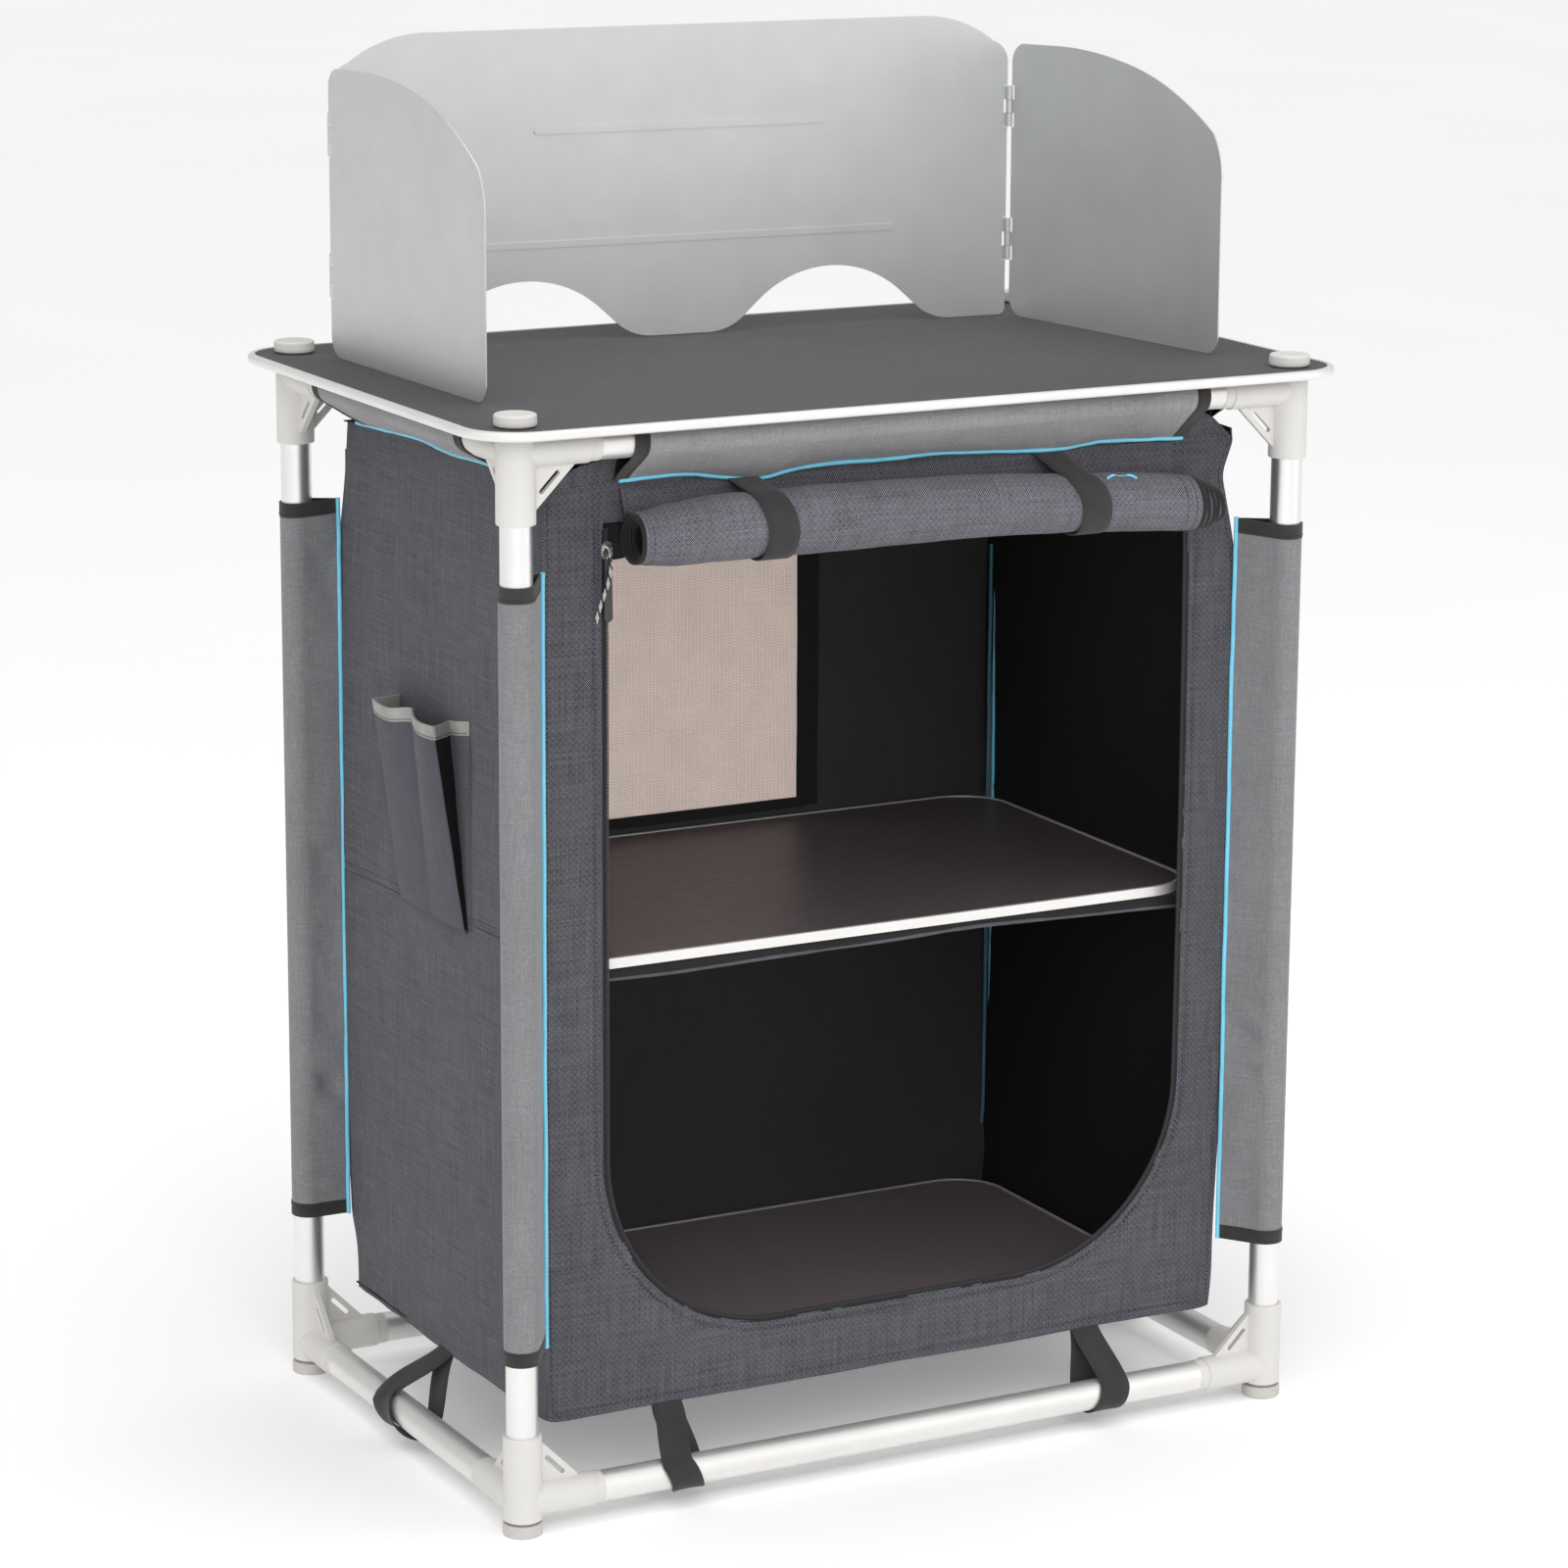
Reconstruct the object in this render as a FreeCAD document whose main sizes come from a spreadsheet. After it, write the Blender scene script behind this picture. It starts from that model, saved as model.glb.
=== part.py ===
import FreeCAD, Part
import Sketcher
import math
import os
from FreeCAD import Vector, Placement, Rotation

# Camp kitchen table: a knock-down tube frame with a laminated top, a fabric
# cabinet hung inside it and a three-panel folding windshield on top.
# Frame: +X to the user's right, +Y to the back, +Z up, origin on the floor
# midway between the four legs.  Millimetres and degrees.

doc = FreeCAD.newDocument("CampKitchenTable")

# ---------------------------------------------------------- driving dimensions
# alias, value, meaning
SIZES = [
    ("tube_radius", 12.5, "frame tube, outer radius"),
    ("tube_wall", 1.2, "frame tube, wall"),
    ("leg_x", 342.0, "leg axis from the middle, across"),
    ("leg_y", 209.6, "leg axis from the middle, front to back"),
    ("leg_low", 16.0, "leg tube, lower end"),
    ("leg_high", 857.0, "leg tube, upper end"),
    ("low_axis", 27.0, "height of the bottom rails"),
    ("high_axis", 852.0, "height of the top rails"),
    ("sleeve_radius", 15.25, "corner connector, outside of the leg sleeve"),
    ("arm_radius", 14.0, "corner connector, outside of the rail arms"),
    ("arm_length", 58.5, "leg axis to the mouth of an arm"),
    ("arm_blind", 18.0, "leg axis to the blind end of an arm's bore"),
    ("low_sleeve_low", 12.5, "bottom connector, lower end"),
    ("low_sleeve_high", 81.0, "bottom connector, upper end"),
    ("high_sleeve_low", 796.0, "top connector, lower end"),
    ("high_sleeve_high", 866.0, "top connector, upper end"),
    ("leg_bore", 12.53, "bore for the leg"),
    ("peg_radius", 12.0, "rail plug, part inside the arm"),
    ("peg_bore", 12.03, "bore for the rail plug"),
    ("peg_start", 18.5, "leg axis to the inner end of a rail plug"),
    ("collar_radius", 12.9, "rail plug, visible collar"),
    ("collar_length", 8.0, "rail plug, collar length"),
    ("spigot_radius", 11.27, "rail plug, radius inside the tube"),
    ("spigot_length", 30.0, "rail plug, length inside the tube"),
    ("gusset_thick", 4.5, "web between sleeve and arm"),
    ("gusset_run", 47.5, "leg axis to the far tip of the web"),
    ("low_gusset_high", 73.5, "bottom connector, top of the web"),
    ("high_gusset_low", 805.5, "top connector, bottom of the web"),
    ("slot_width", 3.8, "slot in the web"),
    ("foot_radius", 15.6, "levelling foot, pad radius"),
    ("foot_height", 10.0, "levelling foot, pad height"),
    ("foot_neck", 11.4, "levelling foot, neck radius"),
    ("foot_stem", 5.0, "levelling foot, screw radius"),
    ("foot_stem_high", 46.0, "levelling foot, top of the screw"),
    ("insert_radius", 11.27, "screw insert in the leg, outside"),
    ("insert_bore", 5.04, "screw insert in the leg, bore"),
    ("insert_low", 16.2, "screw insert, lower end"),
    ("insert_high", 38.0, "screw insert, upper end"),
    ("top_x", 383.0, "tabletop, half width"),
    ("top_y", 246.0, "tabletop, half depth"),
    ("top_corner", 47.0, "tabletop, corner radius"),
    ("top_face", 870.0, "tabletop, height of its upper lip"),
    ("edge_height", 7.4, "tabletop edge profile, height"),
    ("edge_lip", 5.6, "tabletop edge profile, width over the board"),
    ("edge_web", 2.4, "tabletop edge profile, wall at the nose"),
    ("board_low", 866.05, "tabletop board, underside"),
    ("board_high", 869.25, "tabletop board, upper side"),
    ("cap_radius", 16.4, "corner cap, head radius"),
    ("cap_height", 9.5, "corner cap, head height"),
    ("cap_stem", 8.0, "corner cap, stem radius"),
    ("cap_stem_low", 845.0, "corner cap, lower end of the stem"),
    ("cap_bore", 8.05, "holes for the corner cap stem"),
    ("shield_thick", 1.2, "windshield sheet"),
    ("shield_base", 870.4, "windshield, lower edge"),
    ("shield_x", -322.0, "windshield, left hinge axis, across"),
    ("shield_y", 173.5, "windshield, left hinge axis, front to back"),
    ("shield_turn", -2.9, "windshield, turned on the tabletop"),
    ("shield_width", 610.0, "windshield, hinge axis to hinge axis"),
    ("shield_left_turn", -89.0, "left panel, direction from its hinge"),
    ("shield_right_turn", -84.0, "right panel, direction from its hinge"),
    ("knuckle_radius", 3.1, "windshield hinge, rolled knuckle"),
    ("sheet_offset", 2.2, "windshield sheet, middle to hinge axis"),
    ("pin_radius", 1.5, "windshield hinge pin"),
    ("pin_bore", 1.54, "windshield knuckle bore"),
    ("cab_x", 308.0, "cabinet, half width outside"),
    ("cab_front", -182.0, "cabinet, front face"),
    ("cab_back", 197.0, "cabinet, back face"),
    ("cab_low", 73.5, "cabinet, lower hem"),
    ("cab_high", 815.0, "cabinet, top seam"),
    ("cloth", 1.5, "cabinet cloth"),
    ("open_left", -256.5, "front opening, left edge of the cloth"),
    ("open_right", 266.5, "front opening, right edge of the cloth"),
    ("open_low", 129.5, "front opening, lower edge of the cloth"),
    ("open_high", 798.0, "front opening, top edge of the cloth"),
    ("open_corner", 152.0, "front opening, lower corner radius"),
    ("zip_wide", 4.5, "zip coil, width showing inside the cloth edge"),
    ("window_x", 116.0, "rear mesh window, half width"),
    ("window_low", 446.0, "rear mesh window, lower edge"),
    ("window_high", 790.0, "rear mesh window, upper edge"),
    ("shelf_x", 298.0, "shelves, half width"),
    ("shelf_front", -168.0, "shelves, front edge"),
    ("shelf_back", 190.0, "shelves, back edge"),
    ("shelf_corner", 45.0, "shelves, corner radius"),
    ("shelf_thick", 8.0, "shelf edge profile, height"),
    ("mid_shelf_high", 440.0, "middle shelf, top"),
    ("low_shelf_high", 87.0, "bottom shelf, top"),
    ("floor_high", 78.8, "cabinet floor cloth, top"),
    ("slider_high", 764.0, "zip slider, height of its middle"),
    ("roll_gap", 3.6, "rolled door, gap to the front panel behind it"),
    ("roll_left", -246.0, "rolled door, left end"),
    ("roll_left_z", 776.0, "rolled door, axis height at the left end"),
    ("roll_left_radius", 20.6, "rolled door, radius at the left end"),
    ("roll_swell", -205.0, "rolled door, where it has swelled after the left end"),
    ("roll_swell_z", 778.5, "rolled door, axis height there"),
    ("roll_swell_radius", 25.4, "rolled door, radius there"),
    ("roll_strap_left", -131.0, "rolled door, middle of the left strap"),
    ("roll_strap_left_z", 780.0, "rolled door, axis height at the left strap"),
    ("roll_strap_left_radius", 27.0, "rolled door, radius at the left strap"),
    ("roll_mid", 0.0, "rolled door, middle"),
    ("roll_mid_z", 779.4, "rolled door, axis height in the middle"),
    ("roll_mid_radius", 26.2, "rolled door, radius in the middle"),
    ("roll_strap_right", 146.0, "rolled door, middle of the right strap"),
    ("roll_strap_right_z", 773.2, "rolled door, axis height at the right strap"),
    ("roll_strap_right_radius", 24.2, "rolled door, radius at the right strap"),
    ("roll_right", 277.0, "rolled door, right end"),
    ("roll_right_z", 762.5, "rolled door, axis height at the right end"),
    ("roll_right_radius", 22.6, "rolled door, radius at the right end"),
    ("strap_wide", 26.0, "door strap, width"),
    ("strap_high", 812.0, "door strap, height of its sewn end"),
]

sheet = doc.addObject("Spreadsheet::Sheet", "Dims")
sheet.set("A1", "name")
sheet.set("B1", "value")
sheet.set("C1", "meaning")
for row, (alias, value, meaning) in enumerate(SIZES, start=2):
    sheet.set("A%d" % row, alias)
    sheet.set("B%d" % row, "%g" % value)
    sheet.set("C%d" % row, meaning)
    sheet.setAlias("B%d" % row, alias)
doc.recompute()


class Size(object):
    """A size: its number, and the sheet expression that gives it."""

    def __init__(self, number, text):
        self.number = float(number)
        self.text = text

    def __add__(self, other):
        other = as_size(other)
        return Size(self.number + other.number, "(%s + %s)" % (self.text, other.text))

    def __sub__(self, other):
        other = as_size(other)
        return Size(self.number - other.number, "(%s - %s)" % (self.text, other.text))

    def __mul__(self, other):
        other = as_size(other)
        return Size(self.number * other.number, "(%s * %s)" % (self.text, other.text))

    __rmul__ = __mul__

    def __truediv__(self, other):
        other = as_size(other)
        return Size(self.number / other.number, "(%s / %s)" % (self.text, other.text))

    def __neg__(self):
        return Size(-self.number, "(-1 * %s)" % self.text)


def as_size(value):
    if isinstance(value, Size):
        return value
    return Size(value, "(%.6f)" % float(value))


def as_number(value):
    return value.number if isinstance(value, Size) else float(value)


def number(alias):
    """The plain number of a sheet dimension."""
    return float(sheet.get(alias))


def dim(alias):
    """A sheet dimension that keeps its link to the sheet."""
    return Size(number(alias), "Dims." + alias)


def bind(obj, prop, value):
    if isinstance(value, Size):
        obj.setExpression(prop, value.text)


def place(obj, x=0, y=0, z=0, turn=0, axis=(0, 0, 1)):
    obj.Placement = Placement(Vector(as_number(x), as_number(y), as_number(z)),
                              Rotation(Vector(*axis), as_number(turn)))
    bind(obj, "Placement.Base.x", x)
    bind(obj, "Placement.Base.y", y)
    bind(obj, "Placement.Base.z", z)
    bind(obj, "Placement.Rotation.Angle", turn)


PARTS = []      # (label, object) of every piece to export


def keep(obj, label):
    obj.Label = label
    PARTS.append((label, obj))


# ------------------------------------------------------------ sketch shorthand
# Plane axes (sketch x, sketch y, normal):
# XY_Plane is X, Y, +Z;  XZ_Plane is X, Z, -Y;  YZ_Plane is Y, Z, +X.
def new_body(label):
    body = doc.addObject("PartDesign::Body", label)
    keep(body, label)
    return body


def new_sketch(body, role, name, offset=0):
    """Sketch on an origin plane, moved along the plane's normal."""
    plane = next(o for o in body.Origin.OriginFeatures if o.Role == role)
    sketch = body.newObject("Sketcher::SketchObject", name)
    sketch.AttachmentSupport = [(plane, "")]
    sketch.MapMode = "FlatFace"
    sketch.AttachmentOffset = Placement(Vector(0, 0, as_number(offset)), Rotation())
    bind(sketch, ".AttachmentOffset.Base.z", offset)
    return sketch


def datum(sketch, kind, args, value):
    index = sketch.addConstraint(Sketcher.Constraint(kind, *args, as_number(value)))
    bind(sketch, "Constraints[%d]" % index, value)


def lock_point(sketch, geo, pos, x, y):
    """Hold a point at (x, y) from the sketch origin."""
    for kind, value, axis_geo in (("DistanceX", x, -2), ("DistanceY", y, -1)):
        if abs(as_number(value)) < 1e-9:
            sketch.addConstraint(Sketcher.Constraint("PointOnObject", geo, pos, axis_geo))
        else:
            datum(sketch, kind, (-1, 1, geo, pos), value)


def circle(sketch, x, y, radius):
    centre = Vector(as_number(x), as_number(y), 0)
    geo = sketch.addGeometry(Part.Circle(centre, Vector(0, 0, 1), as_number(radius)), False)
    datum(sketch, "Radius", (geo,), radius)
    if abs(centre.x) < 1e-9 and abs(centre.y) < 1e-9:
        sketch.addConstraint(Sketcher.Constraint("Coincident", geo, 3, -1, 1))
    else:
        lock_point(sketch, geo, 3, x, y)


def rect(sketch, x0, x1, y0, y1):
    """Axis-parallel rectangle held by two opposite corners."""
    left, right, low, high = (as_number(value) for value in (x0, x1, y0, y1))
    corners = [Vector(left, low, 0), Vector(right, low, 0),
               Vector(right, high, 0), Vector(left, high, 0)]
    lines = [sketch.addGeometry(Part.LineSegment(corners[i], corners[(i + 1) % 4]), False)
             for i in range(4)]
    for i in range(4):
        sketch.addConstraint(
            Sketcher.Constraint("Coincident", lines[i], 2, lines[(i + 1) % 4], 1))
    for i, kind in enumerate(("Horizontal", "Vertical", "Horizontal", "Vertical")):
        sketch.addConstraint(Sketcher.Constraint(kind, lines[i]))
    lock_point(sketch, lines[0], 1, x0, y0)
    lock_point(sketch, lines[2], 1, x1, y1)


def round_rect(sketch, bounds, radius, inset=0):
    """Rectangle (x0, x1, y0, y1) with equal corner arcs, moved inwards by inset."""
    x0, x1, y0, y1 = bounds
    x0, x1, y0, y1 = x0 + inset, x1 - inset, y0 + inset, y1 - inset
    radius = radius - inset
    left, right, low, high = x0.number, x1.number, y0.number, y1.number
    bend = radius.number
    sides = [(left + bend, low, right - bend, low), (right, low + bend, right, high - bend),
             (right - bend, high, left + bend, high), (left, high - bend, left, low + bend)]
    centres = [(right - bend, low + bend), (right - bend, high - bend),
               (left + bend, high - bend), (left + bend, low + bend)]
    lines, arcs = [], []
    for i in range(4):
        xa, ya, xb, yb = sides[i]
        lines.append(sketch.addGeometry(
            Part.LineSegment(Vector(xa, ya, 0), Vector(xb, yb, 0)), False))
        ring = Part.Circle(Vector(*centres[i], 0), Vector(0, 0, 1), bend)
        start = ((i + 3) % 4) * math.pi / 2
        arcs.append(sketch.addGeometry(
            Part.ArcOfCircle(ring, start, start + math.pi / 2), False))
    for i in range(4):
        sketch.addConstraint(Sketcher.Constraint("Tangent", lines[i], 2, arcs[i], 1))
        sketch.addConstraint(
            Sketcher.Constraint("Tangent", arcs[i], 2, lines[(i + 1) % 4], 1))
    for i in (0, 2):
        sketch.addConstraint(Sketcher.Constraint("Horizontal", lines[i]))
    for i in (1, 3):
        sketch.addConstraint(Sketcher.Constraint("Vertical", lines[i]))
    for i in (1, 2, 3):
        sketch.addConstraint(Sketcher.Constraint("Equal", arcs[0], arcs[i]))
    datum(sketch, "Radius", (arcs[0],), radius)
    datum(sketch, "DistanceX", (-1, 1, lines[3], 1), x0)
    datum(sketch, "DistanceX", (-1, 1, lines[1], 1), x1)
    datum(sketch, "DistanceY", (-1, 1, lines[0], 1), y0)
    datum(sketch, "DistanceY", (-1, 1, lines[2], 1), y1)


def arc_through(start, mid, end):
    """Arc through three points, and which of its ends are start and end."""
    bow = 2 * (start.x * (mid.y - end.y) + mid.x * (end.y - start.y)
               + end.x * (start.y - mid.y))
    start_sq, mid_sq, end_sq = start.dot(start), mid.dot(mid), end.dot(end)
    x = (start_sq * (mid.y - end.y) + mid_sq * (end.y - start.y)
         + end_sq * (start.y - mid.y)) / bow
    y = (start_sq * (end.x - mid.x) + mid_sq * (start.x - end.x)
         + end_sq * (mid.x - start.x)) / bow
    radius = math.hypot(start.x - x, start.y - y)
    first = math.atan2(start.y - y, start.x - x)
    last = math.atan2(end.y - y, end.x - x)
    ends = (1, 2)
    if bow < 0:                 # clockwise: the arc is stored the other way round
        first, last = last, first
        ends = (2, 1)
    if last < first:
        last += 2 * math.pi
    ring = Part.Circle(Vector(x, y, 0), Vector(0, 0, 1), radius)
    return Part.ArcOfCircle(ring, first, last), ends


def outline(sketch, items):
    """Closed outline of lines and three-point arcs, blocked in place.
    ("l", x, y) runs straight to a point, ("a", mid x, mid y, x, y) by an arc.
    It starts at the last item's end point."""
    start = Vector(*items[-1][-2:], 0)
    pieces = []
    for item in items:
        end = Vector(*item[-2:], 0)
        if item[0] == "l":
            shape, ends = Part.LineSegment(start, end), (1, 2)
        else:
            shape, ends = arc_through(start, Vector(item[1], item[2], 0), end)
        pieces.append((sketch.addGeometry(shape, False), ends))
        start = end
    for i, (geo, ends) in enumerate(pieces):
        next_geo, next_ends = pieces[(i + 1) % len(pieces)]
        sketch.addConstraint(
            Sketcher.Constraint("Coincident", geo, ends[1], next_geo, next_ends[0]))
    for geo, _ in pieces:
        sketch.addConstraint(Sketcher.Constraint("Block", geo))


# ----------------------------------------------------------- feature shorthand
def pad(body, sketch, length, name, reversed_=False, midplane=False):
    feature = body.newObject("PartDesign::Pad", name)
    feature.Profile = sketch
    feature.Length = as_number(length)
    bind(feature, "Length", length)
    feature.Reversed = reversed_
    if midplane:
        # the property's name depends on the FreeCAD release
        if hasattr(feature, "SideType"):
            feature.SideType = "Symmetric"
        else:
            feature.Midplane = True


def pocket(body, sketch, length, name, reversed_=False):
    """Cut against the sketch normal, or along it if reversed; it must remove material."""
    doc.recompute()
    before = body.Shape.Volume
    feature = body.newObject("PartDesign::Pocket", name)
    feature.Profile = sketch
    feature.Length = as_number(length)
    bind(feature, "Length", length)
    feature.Reversed = reversed_
    doc.recompute()
    if body.Shape.Volume > before - 1e-3:
        raise RuntimeError("%s: %s cut nothing" % (body.Label, name))


def revolve(body, sketch, name):
    feature = body.newObject("PartDesign::Revolution", name)
    feature.Profile = sketch
    feature.ReferenceAxis = (sketch, ["V_Axis"])
    feature.Angle = 360.0


def fillet_where(body, test, radius, name):
    """Round the edges of the body for which test(edge) is true."""
    doc.recompute()
    tip = body.Tip
    names = ["Edge%d" % (i + 1) for i, edge in enumerate(tip.Shape.Edges) if test(edge)]
    if not names:
        raise RuntimeError("%s: no edge for %s" % (body.Label, name))
    feature = body.newObject("PartDesign::Fillet", name)
    feature.Base = (tip, names)
    feature.Radius = radius
    doc.recompute()


# direction of a cylinder: angle and rotation axis from +Z
AXIS_TURNS = {"Z": (0, (0, 0, 1)), "X": (90, (0, 1, 0)), "-X": (-90, (0, 1, 0)),
              "Y": (-90, (1, 0, 0)), "-Y": (90, (1, 0, 0))}


def cylinder(name, x, y, z, radius, length, axis="Z"):
    piece = doc.addObject("Part::Cylinder", name)
    piece.Radius = as_number(radius)
    piece.Height = as_number(length)
    bind(piece, "Radius", radius)
    bind(piece, "Height", length)
    place(piece, x, y, z, *AXIS_TURNS[axis])
    return piece


def compound(label, shapes):
    piece = doc.addObject("Part::Compound", label)
    piece.Links = shapes
    keep(piece, label)


def fixed_piece(label, shape):
    """Piece from a ready shape that is already in the table's frame."""
    piece = doc.addObject("Part::Feature", label)
    piece.Shape = shape
    keep(piece, label)


# --------------------------------------------------------------- shared places
TUBE = dim("tube_radius")
LEG_X, LEG_Y = dim("leg_x"), dim("leg_y")
# corner, side in x, side in y; anticlockwise seen from above
CORNERS = [("front_left", -1, -1), ("front_right", 1, -1),
           ("rear_right", 1, 1), ("rear_left", -1, 1)]
RAIL_LEVELS = (("bottom", dim("low_axis")), ("top", dim("high_axis")))


# ---------------------------------------------------------------- frame: tubes
def tube_ring(sketch):
    circle(sketch, 0, 0, TUBE)
    circle(sketch, 0, 0, TUBE - dim("tube_wall"))


def leg(corner, side_x, side_y):
    body = new_body("leg_" + corner)
    sketch = new_sketch(body, "XY_Plane", "leg_ring_" + corner, dim("leg_low"))
    tube_ring(sketch)
    pad(body, sketch, dim("leg_high") - dim("leg_low"), "leg_tube_" + corner)
    place(body, side_x * LEG_X, side_y * LEG_Y, 0)


def rail(level, height, side, role, side_x, side_y):
    """Rail between two plug collars, centred on the table's middle."""
    tag = "%s_%s" % (level, side)
    end_gap = dim("arm_length") + dim("collar_length") + 0.02
    half = (LEG_X if role == "YZ_Plane" else LEG_Y) - end_gap
    body = new_body("%s_rail_%s" % (level, side))
    sketch = new_sketch(body, role, "rail_ring_" + tag)
    tube_ring(sketch)
    pad(body, sketch, half * 2, "rail_tube_" + tag, midplane=True)
    place(body, side_x * LEG_X, side_y * LEG_Y, height)


for corner, side_x, side_y in CORNERS:
    leg(corner, side_x, side_y)
for level, height in RAIL_LEVELS:
    rail(level, height, "front", "YZ_Plane", 0, -1)
    rail(level, height, "rear", "YZ_Plane", 0, 1)
    rail(level, height, "left", "XZ_Plane", -1, 0)
    rail(level, height, "right", "XZ_Plane", 1, 0)


# ----------------------------------------------------- plugs in the rails' ends
def rail_plug(level, height, corner, side_x, side_y, along):
    """Peg in the arm, visible collar and spigot in the tube, on one axis."""
    inward = -side_x if along == "X" else -side_y
    axis = along if inward > 0 else "-" + along
    arm = dim("arm_length")
    # part, distance from the leg axis, radius, length
    sections = (
        ("peg", dim("peg_start"), dim("peg_radius"), arm - dim("peg_start") + 0.02),
        ("collar", arm + 0.01, dim("collar_radius"), dim("collar_length")),
        ("spigot", arm + dim("collar_length"), dim("spigot_radius"), dim("spigot_length")))
    pieces = []
    for part, start, radius, length in sections:
        x, y = side_x * LEG_X, side_y * LEG_Y
        if along == "X":
            x = x + inward * start
        else:
            y = y + inward * start
        name = "%s_%s_%s_%s" % (part, level, corner, along)
        pieces.append(cylinder(name, x, y, height, radius, length, axis))
    plug = doc.addObject("Part::MultiFuse", "plug_%s_%s_%s" % (level, corner, along))
    plug.Shapes = pieces
    return plug


compound("rail_end_plugs", [rail_plug(level, height, corner, side_x, side_y, along)
                            for level, height in RAIL_LEVELS
                            for corner, side_x, side_y in CORNERS
                            for along in ("X", "Y")])

# ------------------------------------------------------------ corner connectors
SLEEVE_BITE = 2.0       # the web reaches this far into the sleeve
ARM_BITE = 2.5          # and this far into the arm
SLOT_INSET = 6.4        # slot axis in from the web's sloping edge
SLOT_HALF = 9.5         # half the straight length of the slot
MOUTH_ROUND = 1.0       # fillet on the mouths of arms and sleeve


def web(body, role, name, axis_height, tip_height, upward):
    """Triangular web with a slot, in the plane of an arm.
    upward is 1 if the web stands on the arm, -1 if it hangs below it."""
    sleeve, run = number("sleeve_radius"), number("gusset_run")
    arm_face = axis_height + upward * number("arm_radius")
    arm_inside = arm_face - upward * ARM_BITE
    inner = sleeve - SLEEVE_BITE
    sketch = new_sketch(body, role, name)
    outline(sketch, [("l", inner, tip_height + upward * 1.5), ("l", sleeve, tip_height),
                     ("l", run, arm_face), ("l", run - 1.0, arm_inside),
                     ("l", inner, arm_inside)])
    # slot parallel to the sloping edge, rounded at both ends
    slope = math.hypot(run - sleeve, arm_face - tip_height)
    along_x, along_z = (run - sleeve) / slope, (arm_face - tip_height) / slope
    in_x, in_z = along_z * upward, -along_x * upward
    middle_x = sleeve + along_x * slope * 0.5 + in_x * SLOT_INSET
    middle_z = tip_height + along_z * slope * 0.5 + in_z * SLOT_INSET
    half_width = number("slot_width") / 2

    def slot_point(along, inwards):
        return (middle_x + along_x * along + in_x * inwards,
                middle_z + along_z * along + in_z * inwards)

    end = SLOT_HALF + half_width
    outline(sketch, [("l", *slot_point(SLOT_HALF, half_width)),
                     ("a", *slot_point(end, 0), *slot_point(SLOT_HALF, -half_width)),
                     ("l", *slot_point(-SLOT_HALF, -half_width)),
                     ("a", *slot_point(-end, 0), *slot_point(-SLOT_HALF, half_width))])
    pad(body, sketch, dim("gusset_thick"), name + "_pad", midplane=True)


def connector(level, corner, side_x, side_y, turn):
    """Leg sleeve with two arms, drawn for the front left corner and turned."""
    low = level == "bottom"
    prefix = "low" if low else "high"
    axis = dim(prefix + "_axis")
    sleeve_low, sleeve_high = dim(prefix + "_sleeve_low"), dim(prefix + "_sleeve_high")
    tip = number("low_gusset_high" if low else "high_gusset_low")
    upward = 1 if low else -1
    tag = "%s_%s" % (level, corner)
    body = new_body("%s_connector_%s" % (level, corner))

    sketch = new_sketch(body, "XY_Plane", "sleeve_" + tag, sleeve_low)
    circle(sketch, 0, 0, dim("sleeve_radius"))
    pad(body, sketch, sleeve_high - sleeve_low, "sleeve_pad_" + tag)
    for along, role in (("x", "YZ_Plane"), ("y", "XZ_Plane")):
        sketch = new_sketch(body, role, "arm_%s_%s" % (along, tag))
        circle(sketch, 0, axis, dim("arm_radius"))
        pad(body, sketch, dim("arm_length"), "arm_%s_pad_%s" % (along, tag),
            reversed_=along == "y")
    web(body, "XZ_Plane", "web_x_" + tag, axis.number, tip, upward)
    web(body, "YZ_Plane", "web_y_" + tag, axis.number, tip, upward)

    arm = number("arm_length")
    mouth_height = (sleeve_high if low else sleeve_low).number

    def at_mouth(edge):
        box = edge.BoundBox
        return ((box.XLength < 1e-6 and abs(box.XMin - arm) < 1e-6)
                or (box.YLength < 1e-6 and abs(box.YMin - arm) < 1e-6)
                or (box.ZLength < 1e-6 and abs(box.ZMin - mouth_height) < 1e-6))

    fillet_where(body, at_mouth, MOUTH_ROUND, "mouth_edges_" + tag)

    # the leg bore runs right through at the bottom and is blind at the top
    bore_low = sleeve_low - 1.0
    bore_high = sleeve_high + 1.0 if low else dim("leg_high") + 0.3
    sketch = new_sketch(body, "XY_Plane", "leg_bore_" + tag, bore_low)
    circle(sketch, 0, 0, dim("leg_bore"))
    pocket(body, sketch, bore_high - bore_low, "leg_bore_cut_" + tag, reversed_=True)
    if not low:
        sketch = new_sketch(body, "XY_Plane", "cap_bore_" + tag, sleeve_low)
        circle(sketch, 0, 0, dim("cap_bore"))
        pocket(body, sketch, sleeve_high - sleeve_low + 1.0, "cap_bore_cut_" + tag,
               reversed_=True)
    sketch = new_sketch(body, "YZ_Plane", "bore_x_" + tag, dim("arm_blind"))
    circle(sketch, 0, axis, dim("peg_bore"))
    pocket(body, sketch, dim("arm_length"), "bore_x_cut_" + tag, reversed_=True)
    sketch = new_sketch(body, "XZ_Plane", "bore_y_" + tag, -dim("arm_blind"))
    circle(sketch, 0, axis, dim("peg_bore"))
    pocket(body, sketch, dim("arm_length"), "bore_y_cut_" + tag)
    place(body, side_x * LEG_X, side_y * LEG_Y, 0, turn)


for level in ("bottom", "top"):
    for index, (corner, side_x, side_y) in enumerate(CORNERS):
        connector(level, corner, side_x, side_y, 90 * index)


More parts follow.
